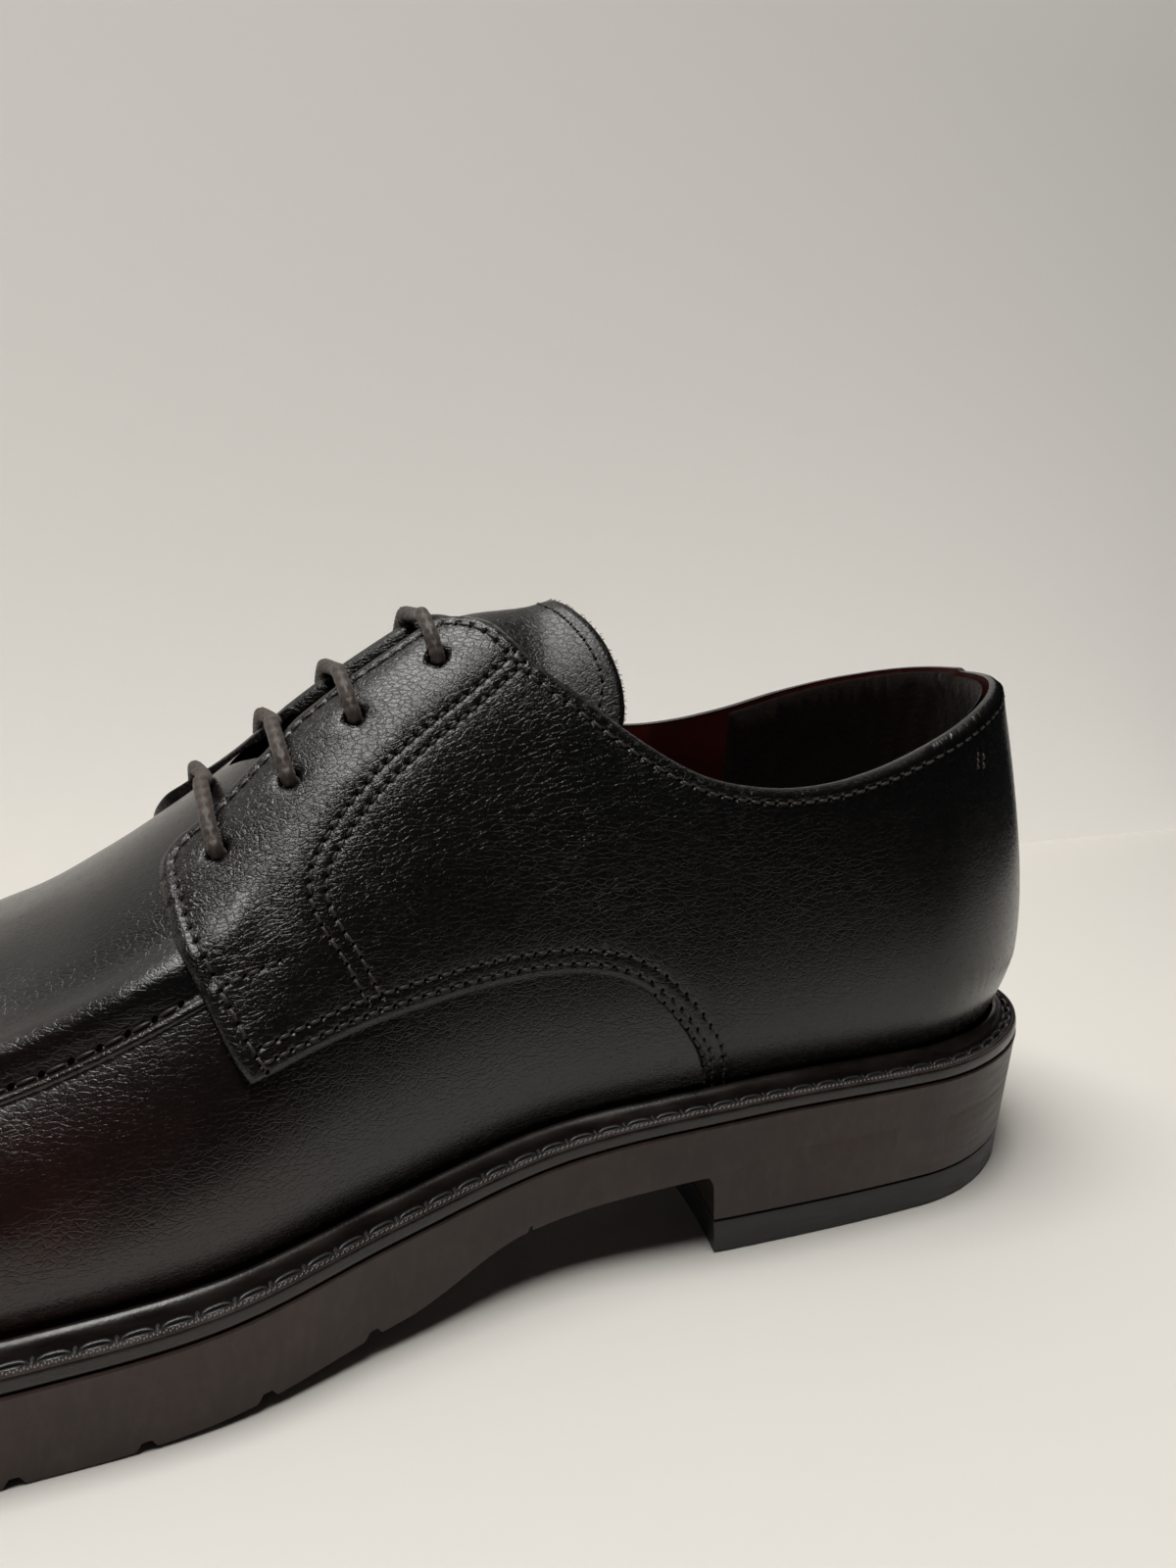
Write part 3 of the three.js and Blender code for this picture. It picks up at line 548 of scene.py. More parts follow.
def welt_material(name, color, worn, roughness):
    material, tree, shader = new_material(name, color, roughness)
    streaks = noise(tree, stretched(tree, (120, 120, 500)), 1.0, 4.0, 0.6)
    grain = noise(tree, stretched(tree, (1, 1, 1)), 2200.0, 3.0)
    rubbed = blend_colors(tree, remap(tree, streaks, 0.4, 0.75, 0, 1), color, worn)
    tree.links.new(rubbed, shader.inputs["Base Color"])
    uneven = remap(tree, streaks, 0.3, 0.7, roughness - 0.06, roughness + 0.1)
    tree.links.new(uneven, shader.inputs["Roughness"])
    set_bump(tree, shader, [(streaks, 0.3, 0.0002), (grain, 0.35, 0.00008)])
    return material


welt = welt_body()
welt_leather = welt_material("welt_leather", (0.0085, 0.0058, 0.0052), (0.024, 0.016, 0.0135), 0.3)
dress(welt, welt_leather, "welt", "welt")
bead = knurled_bead()
dress(bead, welt_material("bead_leather", (0.03, 0.022, 0.02), (0.085, 0.072, 0.066), 0.4), "welt")

# Welt stitching
# Chain stitches of thick waxed thread lie in the channel between the bead and
# the lip, two strands to a link.
LINK_PITCH = 5.0
LINK_LENGTH = 4.5
LINK_WIDTH = 1.5
LINK_THREAD = 0.36
CHANNEL_INSET = 1.95
CHANNEL_HEIGHT = 2.2


def tube_ring(points, radii, sides, caps=True):
    """Points and faces of a tube along a line, closed at its ends."""
    points = np.asarray(points, float)
    radii = np.broadcast_to(radii, len(points))
    along = np.gradient(points, axis=0)
    along /= np.linalg.norm(along, axis=1)[:, None]
    across = np.cross(along, (0.13, 0.21, 0.97))
    across /= np.linalg.norm(across, axis=1)[:, None]
    over = np.cross(across, along)
    turns = np.arange(sides) / sides * 2 * math.pi
    ring = np.cos(turns)[None, :, None] * across[:, None] + np.sin(turns)[None, :, None] * over[:, None]
    rings = points[:, None] + radii[:, None, None] * ring
    vertices = rings.reshape(-1, 3)
    faces = [face[::-1] for face in grid_faces(len(points), sides, True)]
    if caps:
        last = (len(points) - 1) * sides
        faces.append(tuple(range(sides)))
        faces.append(tuple(last + sides - 1 - i for i in range(sides)))
    return vertices, faces


def join_parts(parts):
    points = []
    faces = []
    first = 0
    for part_points, part_faces in parts:
        points.append(part_points)
        faces += [tuple(first + i for i in face) for face in part_faces]
        first += len(part_points)
    return np.concatenate(points), faces


def chain_stitches():
    ways = np.linspace(0, 6, 6001)
    x, y = outline_point(station_at(ways), CHANNEL_INSET)
    lengths = np.concatenate([[0], np.cumsum(np.hypot(np.diff(x), np.diff(y)))])
    count = round(lengths[-1] / LINK_PITCH)
    pitch = lengths[-1] / count
    parts = []
    for link in range(count):
        for strand in (-1, 1):
            t = np.linspace(-1, 1, 9)
            here = (link * pitch + t * LINK_LENGTH / 2) % lengths[-1]
            bow = np.sqrt(np.maximum(0, 1 - np.abs(t) ** 2.6))
            station = station_at(np.interp(here, lengths, ways))
            px, py = outline_point(station, CHANNEL_INSET + strand * bow * (LINK_WIDTH / 2 - 0.1))
            pz = deck(px) + CHANNEL_HEIGHT + 0.4 * bow - 0.3 * np.abs(t) ** 6
            radii = LINK_THREAD * (0.55 + 0.45 * bow)
            parts.append(tube_ring(np.stack([px, py, pz], axis=1), radii, 6))
        here = np.full(4, (link + 0.5) * pitch % lengths[-1])
        station = station_at(np.interp(here, lengths, ways))
        px, py = outline_point(station, CHANNEL_INSET + np.array([-0.75, -0.2, 0.4, 1.0]))
        pz = deck(px) + CHANNEL_HEIGHT + np.array([-0.2, 0.1, 0.25, 0.5])
        parts.append(tube_ring(np.stack([px, py, pz], axis=1), 0.26, 6))
    return make_piece("welt_stitches", *join_parts(parts))


def thread_material(name, color, light, roughness):
    material, tree, shader = new_material(name, color, roughness)
    twist = noise(tree, stretched(tree, (1, 1, 1)), 2600.0, 2.0)
    tree.links.new(blend_colors(tree, twist, color, light), shader.inputs["Base Color"])
    shader.inputs["Sheen Weight"].default_value = 0.1
    set_bump(tree, shader, [(twist, 0.5, 0.00008)])
    return material


waxed_thread = thread_material("waxed_thread", (0.010, 0.0095, 0.010), (0.036, 0.034, 0.035), 0.36)
dress(chain_stitches(), waxed_thread, "welt")

# Insole
# A leather-covered insole, wine brown like the lining.
INSOLE_THICKNESS = 2.7
UPPER_WALL = 2.2


def insole_body():
    ways = even_ways(300)
    inset = WELT_REACH + UPPER_WALL + CLEAR

    def top(x):
        return deck(x) + CLEAR + INSOLE_THICKNESS

    rows = [(inset + 0.9, top), (inset + 0.2, lambda x: top(x) - 0.25), (inset, lambda x: top(x) - 0.9),
            (inset, lambda x: deck(x) + CLEAR)]
    return plan_block("insole", ways, rows, top, lambda x: deck(x) + CLEAR)


def lining_material(name, color, dark, roughness):
    material, tree, shader = new_material(name, color, roughness)
    patches = noise(tree, stretched(tree, (1, 1, 1)), 60.0, 3.0)
    grain = noise(tree, stretched(tree, (1, 1, 1)), 1500.0, 3.0)
    stained = blend_colors(tree, remap(tree, patches, 0.3, 0.7, 0, 1), color, dark)
    tree.links.new(stained, shader.inputs["Base Color"])
    shader.inputs["Specular IOR Level"].default_value = 0.22
    set_bump(tree, shader, [(grain, 0.4, 0.0001), (patches, 0.3, 0.0005)])
    return material


wine_lining = lining_material("wine_lining", (0.060, 0.0075, 0.005), (0.030, 0.0045, 0.0035), 0.5)
dress(insole_body(), wine_lining, "lining", "insole")

# Upper
# The vamp is one lasted piece of dark brown calf. Its apron is marked by a
# rolled seam, gathered up in a ridge with a stitched groove and a corded edge.
FLAT = 100
QUARTER_STEP = 1.4
APRON_PLACE = 0.495
SKIN_STEP = 0.05


def station_of(u, v):
    x = np.clip(u, HEEL_ROUND, TOE_CENTRE)
    return x, np.sign(u - x), np.arctan2(np.abs(u - x), np.abs(v)), np.where(v < 0, -1, 1)


def last_point(u, v):
    """Point of the last for a point of the flat pattern, which is a strip round
    the spine with a fan at the heel and at the toe."""
    station = station_of(u, v)
    x0 = station[0]
    foot_x, foot_y = outline_point(station, WELT_REACH)
    at = foot_x / SOLE_LENGTH
    reach = np.hypot(u - x0, v)
    angle = (1 - np.minimum(reach / FLAT, 1)) * math.pi / 2
    full = section["full"](at)
    cosine, sine = np.maximum(np.cos(angle), 0), np.sin(angle)
    swell = (cosine ** full + sine ** full) ** (1 / full)
    out, up = cosine / swell, sine / swell
    feather = deck(foot_x) + LIP_HEIGHT
    height = section["ridge"](at) * up / section["belly"](at)
    bulge = COUNTER_BULGE * section["bulge"](at) * height * np.exp(1 - height)
    dx, dy = foot_x - x0, foot_y - spine_y(x0)
    share = out + bulge / np.hypot(dx, dy)
    x = x0 + dx * share
    y = spine_y(x0) + dy * share
    crest = deck(x) + LIP_HEIGHT + INSTEP_RISE * section["ridge"](x / SOLE_LENGTH)
    z = feather + (crest - feather) * up - np.maximum(reach - FLAT, 0)
    return np.stack([x, y, z], axis=-1)


def skin_point(u, v, height):
    u, v = np.asarray(u, float), np.asarray(v, float)
    side = np.where(v < 0, -1.0, 1.0)
    w = np.where(np.abs(v) < 2 * SKIN_STEP, 2 * SKIN_STEP * side, v)
    along = last_point(u + SKIN_STEP, w) - last_point(u - SKIN_STEP, w)
    across = last_point(u, w + SKIN_STEP) - last_point(u, w - SKIN_STEP)
    normal = np.cross(along, across)
    normal /= np.linalg.norm(normal, axis=-1)[..., None]
    return last_point(u, v) + normal * np.asarray(height)[..., None]


def reach_of(u, v):
    return np.hypot(u - np.clip(u, HEEL_ROUND, TOE_CENTRE), v)


# Profile across the rolled seam: millimetres out from its crest, and height
APRON_ROWS = np.array([
    (-7.0, 0.0), (-5.2, 0.12), (-3.6, 0.5), (-2.4, 1.05), (-1.3, 1.65), (-0.4, 2.0), (0.5, 2.1),
    (1.3, 1.92), (2.1, 1.5), (2.9, 0.95), (3.5, 0.45), (4.0, 0.05), (4.4, -0.28), (4.75, -0.32),
    (5.05, -0.1), (5.3, 0.25), (5.6, 0.46), (5.95, 0.5), (6.25, 0.34), (6.45, 0.02), (6.7, -0.06), (7.3, 0.0),
])
APRON_STARTS = 158.5
APRON_FULL = 176.0
APRON_SPREAD = 0.70


def apron_height(u, v):
    across = (reach_of(u, v) - APRON_PLACE * FLAT) * APRON_SPREAD
    height = np.interp(across, APRON_ROWS[:, 0], APRON_ROWS[:, 1])
    grown = 0.45 + 0.55 * ramp(u, APRON_STARTS, APRON_FULL)
    return height * grown * ramp(u, APRON_STARTS - 4, APRON_STARTS)


def vamp_reaches():
    across = APRON_ROWS[:, 0] / APRON_SPREAD + APRON_PLACE * FLAT
    fine = np.concatenate([across, (across[1:] + across[:-1]) / 2])
    plain = np.concatenate([np.linspace(0, across[0] - 2, 22), np.linspace(across[-1] + 1.5, 100, 30)])
    return np.sort(np.concatenate([fine, plain, [102.5, 104.7]]))


VAMP_STARTS = smooth_curve(np.array([0.0, 11.0, 30.0, 60.0, 80.0, 90.0, 104.7]),
                           np.array([156.5, 152.8, 143.0, 126.0, 100.0, 84.0, 74.0]))


def vamp_body():
    reaches = vamp_reaches()
    sides, fan = 150, 110
    rows = []
    for reach in reaches:
        start = float(VAMP_STARTS(reach))
        u = np.linspace(start, TOE_CENTRE, sides)
        turn = np.linspace(0, math.pi, fan + 2)[1:-1]
        u_row = np.concatenate([u, TOE_CENTRE + reach * np.sin(turn), u[::-1]])
        v_row = np.concatenate([np.full(sides, reach), reach * np.cos(turn), np.full(sides, -reach)])
        rows.append(np.stack([u_row, v_row], axis=1))
    flat = np.concatenate(rows)
    height = apron_height(flat[:, 0], flat[:, 1]) + soft_creases(flat[:, 0], flat[:, 1])
    points = skin_point(flat[:, 0], flat[:, 1], height)
    return make_piece("vamp", points, grid_faces(len(reaches), 2 * sides + fan, False))


# Soft troughs of the leather: from and to as share of the length and
# of the way from ridge to feather, then depth and width in millimetres
VAMP_CREASES = (
    (0.62, 0.10, 0.60, 0.36, 0.28, 4.5), (0.66, 0.05, 0.645, 0.34, 0.22, 5.0),
    (0.62, 0.70, 0.70, 0.80, 0.20, 5.0), (0.56, 0.80, 0.66, 0.92, 0.22, 6.0),
    (0.72, 0.66, 0.80, 0.78, 0.18, 5.0),
)


def crease_distance(u, v, crease):
    u0, v0, u1, v1 = crease[0] * SOLE_LENGTH, crease[1] * FLAT, crease[2] * SOLE_LENGTH, crease[3] * FLAT
    along = np.array([u1 - u0, v1 - v0])
    t = ((u - u0) * along[0] + (np.abs(v) - v0) * along[1]) / (along @ along)
    near = np.clip(t, 0, 1)
    distance = np.hypot(u - u0 - near * along[0], np.abs(v) - v0 - near * along[1])
    return distance, np.sin(np.clip(t, 0, 1) * math.pi)


def soft_creases(u, v, creases=VAMP_CREASES):
    total = np.zeros(np.shape(u))
    for crease in creases:
        distance, fade = crease_distance(u, v, crease)
        depth, width = crease[4], crease[5]
        trough = np.exp(-(distance / width) ** 2) - 0.55 * np.exp(-((distance - 1.8 * width) / width) ** 2)
        total -= depth * fade * trough
    return total


def creased_cells(tree, scale, stretch):
    """Distance from the fine creases between the cells of the grain, 0 in a crease."""
    flow = stretched(tree, stretch)
    bend = add_node(tree, "TexNoise", Vector=flow, Scale=scale * 0.45, Detail=1.0)
    push = add_node(tree, "VectorMath", operation="MULTIPLY_ADD")
    tree.links.new(bend.outputs["Color"], push.inputs[0])
    push.inputs[1].default_value = (1.3 / scale, 1.3 / scale, 1.3 / scale)
    tree.links.new(flow, push.inputs[2])
    cells = add_node(tree, "TexVoronoi", Vector=push.outputs["Vector"], Scale=scale)
    cells.feature = "DISTANCE_TO_EDGE"
    return remap(tree, cells.outputs["Distance"], 0.0, 0.12, 0, 1)


def leather_material(name, color, warm, roughness, warm_share, grain_share, fineness, shine=0.5):
    """Polished leather. The shares are functions that make a value from the node
    tree: how far the colour goes to the warm one, and how strong the grain is."""
    material, tree, shader = new_material(name, color, roughness)
    tone = noise(tree, stretched(tree, (1, 1, 1)), 55.0, 4.0, 0.6)
    mottled = combine(tree, "MULTIPLY", remap(tree, tone, 0.35, 0.7, 0.3, 1), warm_share(tree))
    tree.links.new(blend_colors(tree, mottled, color, warm), shader.inputs["Base Color"])
    grain = grain_share(tree)
    patchy = combine(tree, "MULTIPLY", grain, remap(tree, tone, 0.3, 0.65, 0.6, 1))
    long_cells = creased_cells(tree, fineness, (0.55, 1.0, 1.0))
    small_cells = creased_cells(tree, fineness * 1.9, (0.8, 1.0, 1.0))
    folds = noise(tree, stretched(tree, (0.6, 1, 1)), fineness * 0.8, 4.0, 0.65, 0.8)
    pores = noise(tree, stretched(tree, (1, 1, 1)), 3000.0, 2.0)
    uneven = remap(tree, folds, 0.3, 0.7, roughness - 0.04, roughness + 0.05)
    tree.links.new(uneven, shader.inputs["Roughness"])
    shader.inputs["Specular IOR Level"].default_value = shine
    shader.inputs["Coat Weight"].default_value = 0.15
    shader.inputs["Coat Roughness"].default_value = 0.22
    strong, medium = combine(tree, "MULTIPLY", patchy, 0.6), combine(tree, "MULTIPLY", grain, 0.5)
    heights = [(folds, medium, 0.00016), (long_cells, strong, 0.00012), (small_cells, medium, 0.00004)]
    set_bump(tree, shader, heights + [(pores, 0.25, 0.00003)])
    return material


def vamp_warmth(tree):
    low = share_along(tree, "Z", 0.058, 0.030)
    return combine(tree, "MULTIPLY", low, share_along(tree, "X", -0.01, 0.04))


def vamp_grain(tree):
    return share_along(tree, "X", 0.10, 0.02, 0.2, 0.42)


def quarter_grain(tree):
    front = share_along(tree, "X", -0.115, -0.065, 0.25, 0.8)
    return combine(tree, "MULTIPLY", front, share_along(tree, "Z", 0.034, 0.055, 0.6, 1))


def front_warmth(tree):
    return share_along(tree, "X", -0.05, 0.02)


black, umber, oxblood = (0.0040, 0.0035, 0.0035), (0.0085, 0.006, 0.0055), (0.030, 0.0095, 0.0070)
vamp_leather = leather_material("vamp_leather", black, oxblood, 0.24, vamp_warmth, vamp_grain, 1250.0)
quarter_leather = leather_material(
    "quarter_leather", black, umber, 0.25, front_warmth, quarter_grain, 1150.0, 0.38)
vamp = vamp_body()
dress(vamp, vamp_leather, "upper_leather", "upper")

# Quarters
# Two quarters of the same calf overlie the vamp and meet at the back. Their
# edges are turned in, and rows of fine stitches follow them.
COUNTER_HEIGHT = 66
INNER_ANKLE_RISE = 4.9
COLLAR_FRONT = 0.352
LASTED_REACH = 104.7
QUARTER_FRONT = (
    (0.482, 0.115), (0.515, 0.169), (0.536, 0.200), (0.547, 0.212), (0.555, 0.250), (0.556, 0.320),
    (0.553, 0.421), (0.549, 0.487), (0.541, 0.584), (0.531, 0.690), (0.5245, 0.737),
)
QUARTER_FOOT = (
    (0.5245, 0.737), (0.482, 0.755), (0.431, 0.782), (0.370, 0.816), (0.342, 0.836), (0.321, 0.860),
    (0.304, 0.895), (0.290, 0.935), (0.281, 0.975), (0.2765, 1.047),
)
FACING = (
    (0.482, 0.115), (0.440, 0.112), (0.413, 0.108), (0.403, 0.118), (0.390, 0.180), (0.380, 0.236),
    (0.372, 0.298), (0.362, 0.377),
)
COLLAR = np.array([
    (0.000, 1.000), (0.030, 0.990), (0.070, 0.938), (0.118, 0.858), (0.168, 0.777), (0.200, 0.746),
    (0.240, 0.746), (0.277, 0.795), (0.310, 0.900), (0.337, 1.012), (0.362, 1.122), (0.372, 1.190),
])
collar_up = smooth_curve(COLLAR[:, 0], COLLAR[:, 1])


def catmull(rows, side=1, samples=14):
    """Smooth line through a table's points, on the flat pattern."""
    points = np.array([(at * SOLE_LENGTH, side * down * FLAT) for at, down in rows])
    padded = np.concatenate([points[:1], points, points[-1:]])
    line = []
    for i in range(len(points) - 1):
        p0, p1, p2, p3 = padded[i:i + 4]
        t = np.linspace(0, 1, samples, endpoint=False)[:, None]
        m1, m2 = (p2 - p0) / 2, (p3 - p1) / 2
        line.append((2 * t ** 3 - 3 * t ** 2 + 1) * p1 + (t ** 3 - 2 * t ** 2 + t) * m1
                    + (3 * t ** 2 - 2 * t ** 3) * p2 + (t ** 3 - t ** 2) * m2)
    return np.concatenate(line + [points[-1:]])


def collar_height(x, side):
    at = x / SOLE_LENGTH
    rise = np.where(side < 0, INNER_ANKLE_RISE * np.exp(-((at - 0.20) / 0.12) ** 2), 0)
    return deck(x) + LIP_HEIGHT + COUNTER_HEIGHT * collar_up(at) + rise


def collar_line(side):
    """The topline from the facing's foot to the middle of the back."""
    straight = np.linspace(COLLAR_FRONT * SOLE_LENGTH, HEEL_ROUND, 60, endpoint=False)
    turn = np.linspace(0, math.pi / 2, 60)
    x = np.concatenate([straight, np.full(60, HEEL_ROUND)])
    turn = np.concatenate([np.zeros(60), turn])
    end = np.where(turn > 0, -1, 0)
    high = np.full(120, 0.1 * FLAT)
    low = np.full(120, float(FLAT))
    for _ in range(30):
        reach = (high + low) / 2
        u, v = x + end * reach * np.sin(turn), side * reach * np.cos(turn)
        point = last_point(u, v)
        over = point[:, 2] > collar_height(point[:, 0], side)
        high = np.where(over, reach, high)
        low = np.where(over, low, reach)
    return np.stack([x + end * low * np.sin(turn), side * low * np.cos(turn)], axis=1)


def resample(line, spacing, height=0.0):
    """Points along a line of the flat pattern, evenly spaced on the last."""
    placed = skin_point(line[:, 0], line[:, 1], np.full(len(line), height))
    lengths = np.concatenate([[0], np.cumsum(np.linalg.norm(np.diff(placed, axis=0), axis=1))])
    count = max(2, int(round(lengths[-1] / spacing)) + 1)
    here = np.linspace(0, lengths[-1], count)
    return np.stack([np.interp(here, lengths, line[:, 0]), np.interp(here, lengths, line[:, 1])], axis=1)


def offset_line(line, distance):
    """The line moved sideways on the last, to the left of its direction."""
    along = np.gradient(line, axis=0)
    step = 0.2
    u, v = line[:, 0], line[:, 1]
    pu = (last_point(u + step, v) - last_point(u - step, v)) / (2 * step)
    pv = (last_point(u, v + step) - last_point(u, v - step)) / (2 * step)
    g11, g12, g22 = (pu * pu).sum(1), (pu * pv).sum(1), (pv * pv).sum(1)
    side = np.stack([-(g12 * along[:, 0] + g22 * along[:, 1]), g11 * along[:, 0] + g12 * along[:, 1]], axis=1)
    size = np.sqrt(g11 * side[:, 0] ** 2 + 2 * g12 * side[:, 0] * side[:, 1] + g22 * side[:, 1] ** 2)
    return line + side / size[:, None] * distance


def nearest(points, targets):
    """Distance from each point to the nearest target, and which one it is."""
    tree = kdtree.KDTree(len(targets))
    for i, target in enumerate(targets):
        tree.insert(target, i)
    tree.balance()
    found = [tree.find(point) for point in points]
    return np.array([f[2] for f in found]), np.array([f[1] for f in found])


def inside_loop(points, loop):
    x, y = points[:, 0], points[:, 1]
    inside = np.zeros(len(points), bool)
    for (x0, y0), (x1, y1) in zip(loop, np.roll(loop, -1, axis=0)):
        if y0 != y1:
            crosses = (y0 > y) != (y1 > y)
            inside ^= crosses & (x < (x1 - x0) * (y - y0) / (y1 - y0) + x0)
    return inside


class Sheet:
    """A piece of leather cut out of the flat pattern. Its points are added in
    order of importance, and one that lies too close to another is left out."""

    def __init__(self, loop):
        area = (loop[:, 0] * np.roll(loop[:, 1], -1) - np.roll(loop[:, 0], -1) * loop[:, 1]).sum()
        self.loop = loop if area > 0 else loop[::-1]
        self.points = [self.loop]
        self.placed = [last_point(self.loop[:, 0], self.loop[:, 1])]

    def add(self, points, gap):
        points = points[inside_loop(points, self.loop)]
        placed = last_point(points[:, 0], points[:, 1])
        distance = nearest(placed, np.concatenate(self.placed))[0]
        keep = distance > gap
        self.points.append(points[keep])
        self.placed.append(placed[keep])

    def rings(self, offsets):
        closed = np.concatenate([self.loop[-2:], self.loop, self.loop[:2]])
        for offset in offsets:
            ring = offset_line(closed, offset)[2:-2]
            self.add(ring, 0.85 * offset)

    def fill(self, spacing):
        low, high = self.loop.min(0), self.loop.max(0)
        rows = np.arange(low[1], high[1], spacing * 0.87 * 1.35)
        grid = []
        for i, v in enumerate(rows):
            u = np.arange(low[0] + (i % 2) * spacing / 2, high[0], spacing)
            grid.append(np.stack([u, np.full(len(u), v)], axis=1))
        self.add(np.concatenate(grid), 0.7 * spacing)

    def triangles(self):
        flat = np.concatenate(self.points)
        count = len(self.loop)
        edges = [(i, (i + 1) % count) for i in range(count)]
        vectors = [Vector(point) for point in flat.tolist()]
        result = geometry.delaunay_2d_cdt(vectors, edges, [], 1, 1e-5)
        if len(result[0]) != len(flat):
            print("sheet: points changed", len(flat), len(result[0]))
        return np.array([tuple(p) for p in result[0]]), [tuple(face) for face in result[2]]


def quarter_loop(side_spacing=0.75):
    lateral = [catmull(FACING, 1), collar_line(1)]
    medial = [line * (1, -1) for line in (catmull(FACING, 1),)] + [collar_line(-1)]
    top = np.concatenate([lateral[0], lateral[1], medial[1][::-1][1:], medial[0][::-1]])
    front = catmull(QUARTER_FRONT, -1)
    foot = catmull(QUARTER_FOOT, -1)
    turn = np.linspace(0, math.pi, 80)
    start = QUARTER_FOOT[-1][0] * SOLE_LENGTH
    straight = np.linspace(start, HEEL_ROUND, 40)[1:-1]
    medial_rim = np.stack([straight, np.full(len(straight), -LASTED_REACH)], axis=1)
    fan = np.stack([HEEL_ROUND - LASTED_REACH * np.sin(turn), -LASTED_REACH * np.cos(turn)], axis=1)
    bottom = np.concatenate([medial_rim, fan, medial_rim[::-1] * (1, -1)])
    pieces = [top, front, foot, bottom, foot[::-1] * (1, -1), front[::-1] * (1, -1)]
    sampled = [resample(piece, side_spacing)[:-1] for piece in pieces]
    kinds = [np.full(len(piece), i) for i, piece in enumerate(sampled)]
    return np.concatenate(sampled), np.concatenate(kinds)


def edge_row(line, inset, side):
    """A line a few millimetres inside an edge, and smoothed at its corners."""
    return offset_line(resample(line, 1.0), inset * side)


def seam_lines():
    """Each row of stitches: a line on the flat pattern and its pitch."""
    rows = []
    for side in (1, -1):
        front = catmull(QUARTER_FRONT, side)
        foot = catmull(QUARTER_FOOT, side)
        facing = catmull(FACING, side)
        edge = np.concatenate([front[::-1], facing[1:]])
        collar = collar_line(side)
        top = np.concatenate([edge, collar])
        rows.append((edge_row(top, 2.6, -side), 2.5))
        rows.append((edge_row(foot, 1.9, side)[2:], 2.35))
        rows.append((edge_row(foot, 4.1, side)[3:], 2.35))
        rows.append((edge_row(foot[int(0.62 * len(foot)):], 0.55, side), 2.1))
        for shift in (0.0, 2.3):
            arc = edge_row(catmull(DOUBLE_ROW, side), shift, side)
            rows.append((arc, 2.2))
        rows.append((catmull(SHORT_TACK, side), 2.5))
        rows += [(catmull(tack, side), 1.3) for tack in HEEL_TACKS]
    return rows


DOUBLE_ROW = (
    (0.371, 0.345), (0.399, 0.372), (0.427, 0.390), (0.451, 0.410), (0.470, 0.440), (0.484, 0.474),
    (0.489, 0.503), (0.490, 0.541), (0.486, 0.592), (0.478, 0.649), (0.472, 0.699), (0.468, 0.732),
)
SHORT_TACK = ((0.531, 0.576), (0.520, 0.583), (0.507, 0.593))
HEEL_TACKS = (((0.048, 0.668), (0.049, 0.688)), ((0.060, 0.678), (0.061, 0.698)))
EYELETS = ((0.411, 0.252), (0.457, 0.262), (0.492, 0.292), (0.529, 0.325))
EYELET_RADIUS = 1.6
QUARTER_CREASES = (
    (0.50, 0.28, 0.44, 0.34, 0.22, 3.5), (0.47, 0.52, 0.38, 0.60, 0.2, 4.0),
    (0.42, 0.46, 0.30, 0.66, 0.18, 4.0), (0.44, 0.62, 0.34, 0.72, 0.2, 4.5),
    (0.34, 0.72, 0.24, 0.80, 0.16, 5.0), (0.53, 0.42, 0.50, 0.60, 0.16, 4.0),
)


def circle_line(at, down, side, radius, count):
    """Points round a place on the flat pattern at a real radius."""
    u, v = at * SOLE_LENGTH, side * down * FLAT
    step = 0.3
    stretch_u = np.linalg.norm(last_point(u + step, v) - last_point(u - step, v)) / (2 * step)
    stretch_v = np.linalg.norm(last_point(u, v + step) - last_point(u, v - step)) / (2 * step)
    turn = np.arange(count) / count * 2 * math.pi
    return np.stack([u + radius / stretch_u * np.cos(turn), v + radius / stretch_v * np.sin(turn)], axis=1)


# Where a quarter stands off what it lies on: place, side (0 for both), reach
# in millimetres and height
QUARTER_LIFTS = ((0.524, 0.732, 0, 6.0, 0.7), (0.548, 0.170, -1, 8.0, 2.4))


def quarter_lift(u, v):
    total = np.zeros(np.shape(u))
    for at, down, side, reach, height in QUARTER_LIFTS:
        away = np.hypot(u - at * SOLE_LENGTH, np.abs(v) - down * FLAT)
        total += height * np.exp(-(away / reach) ** 2) * (np.sign(v) * side >= 0)
    return total + 0.8 * apron_height(u, v)


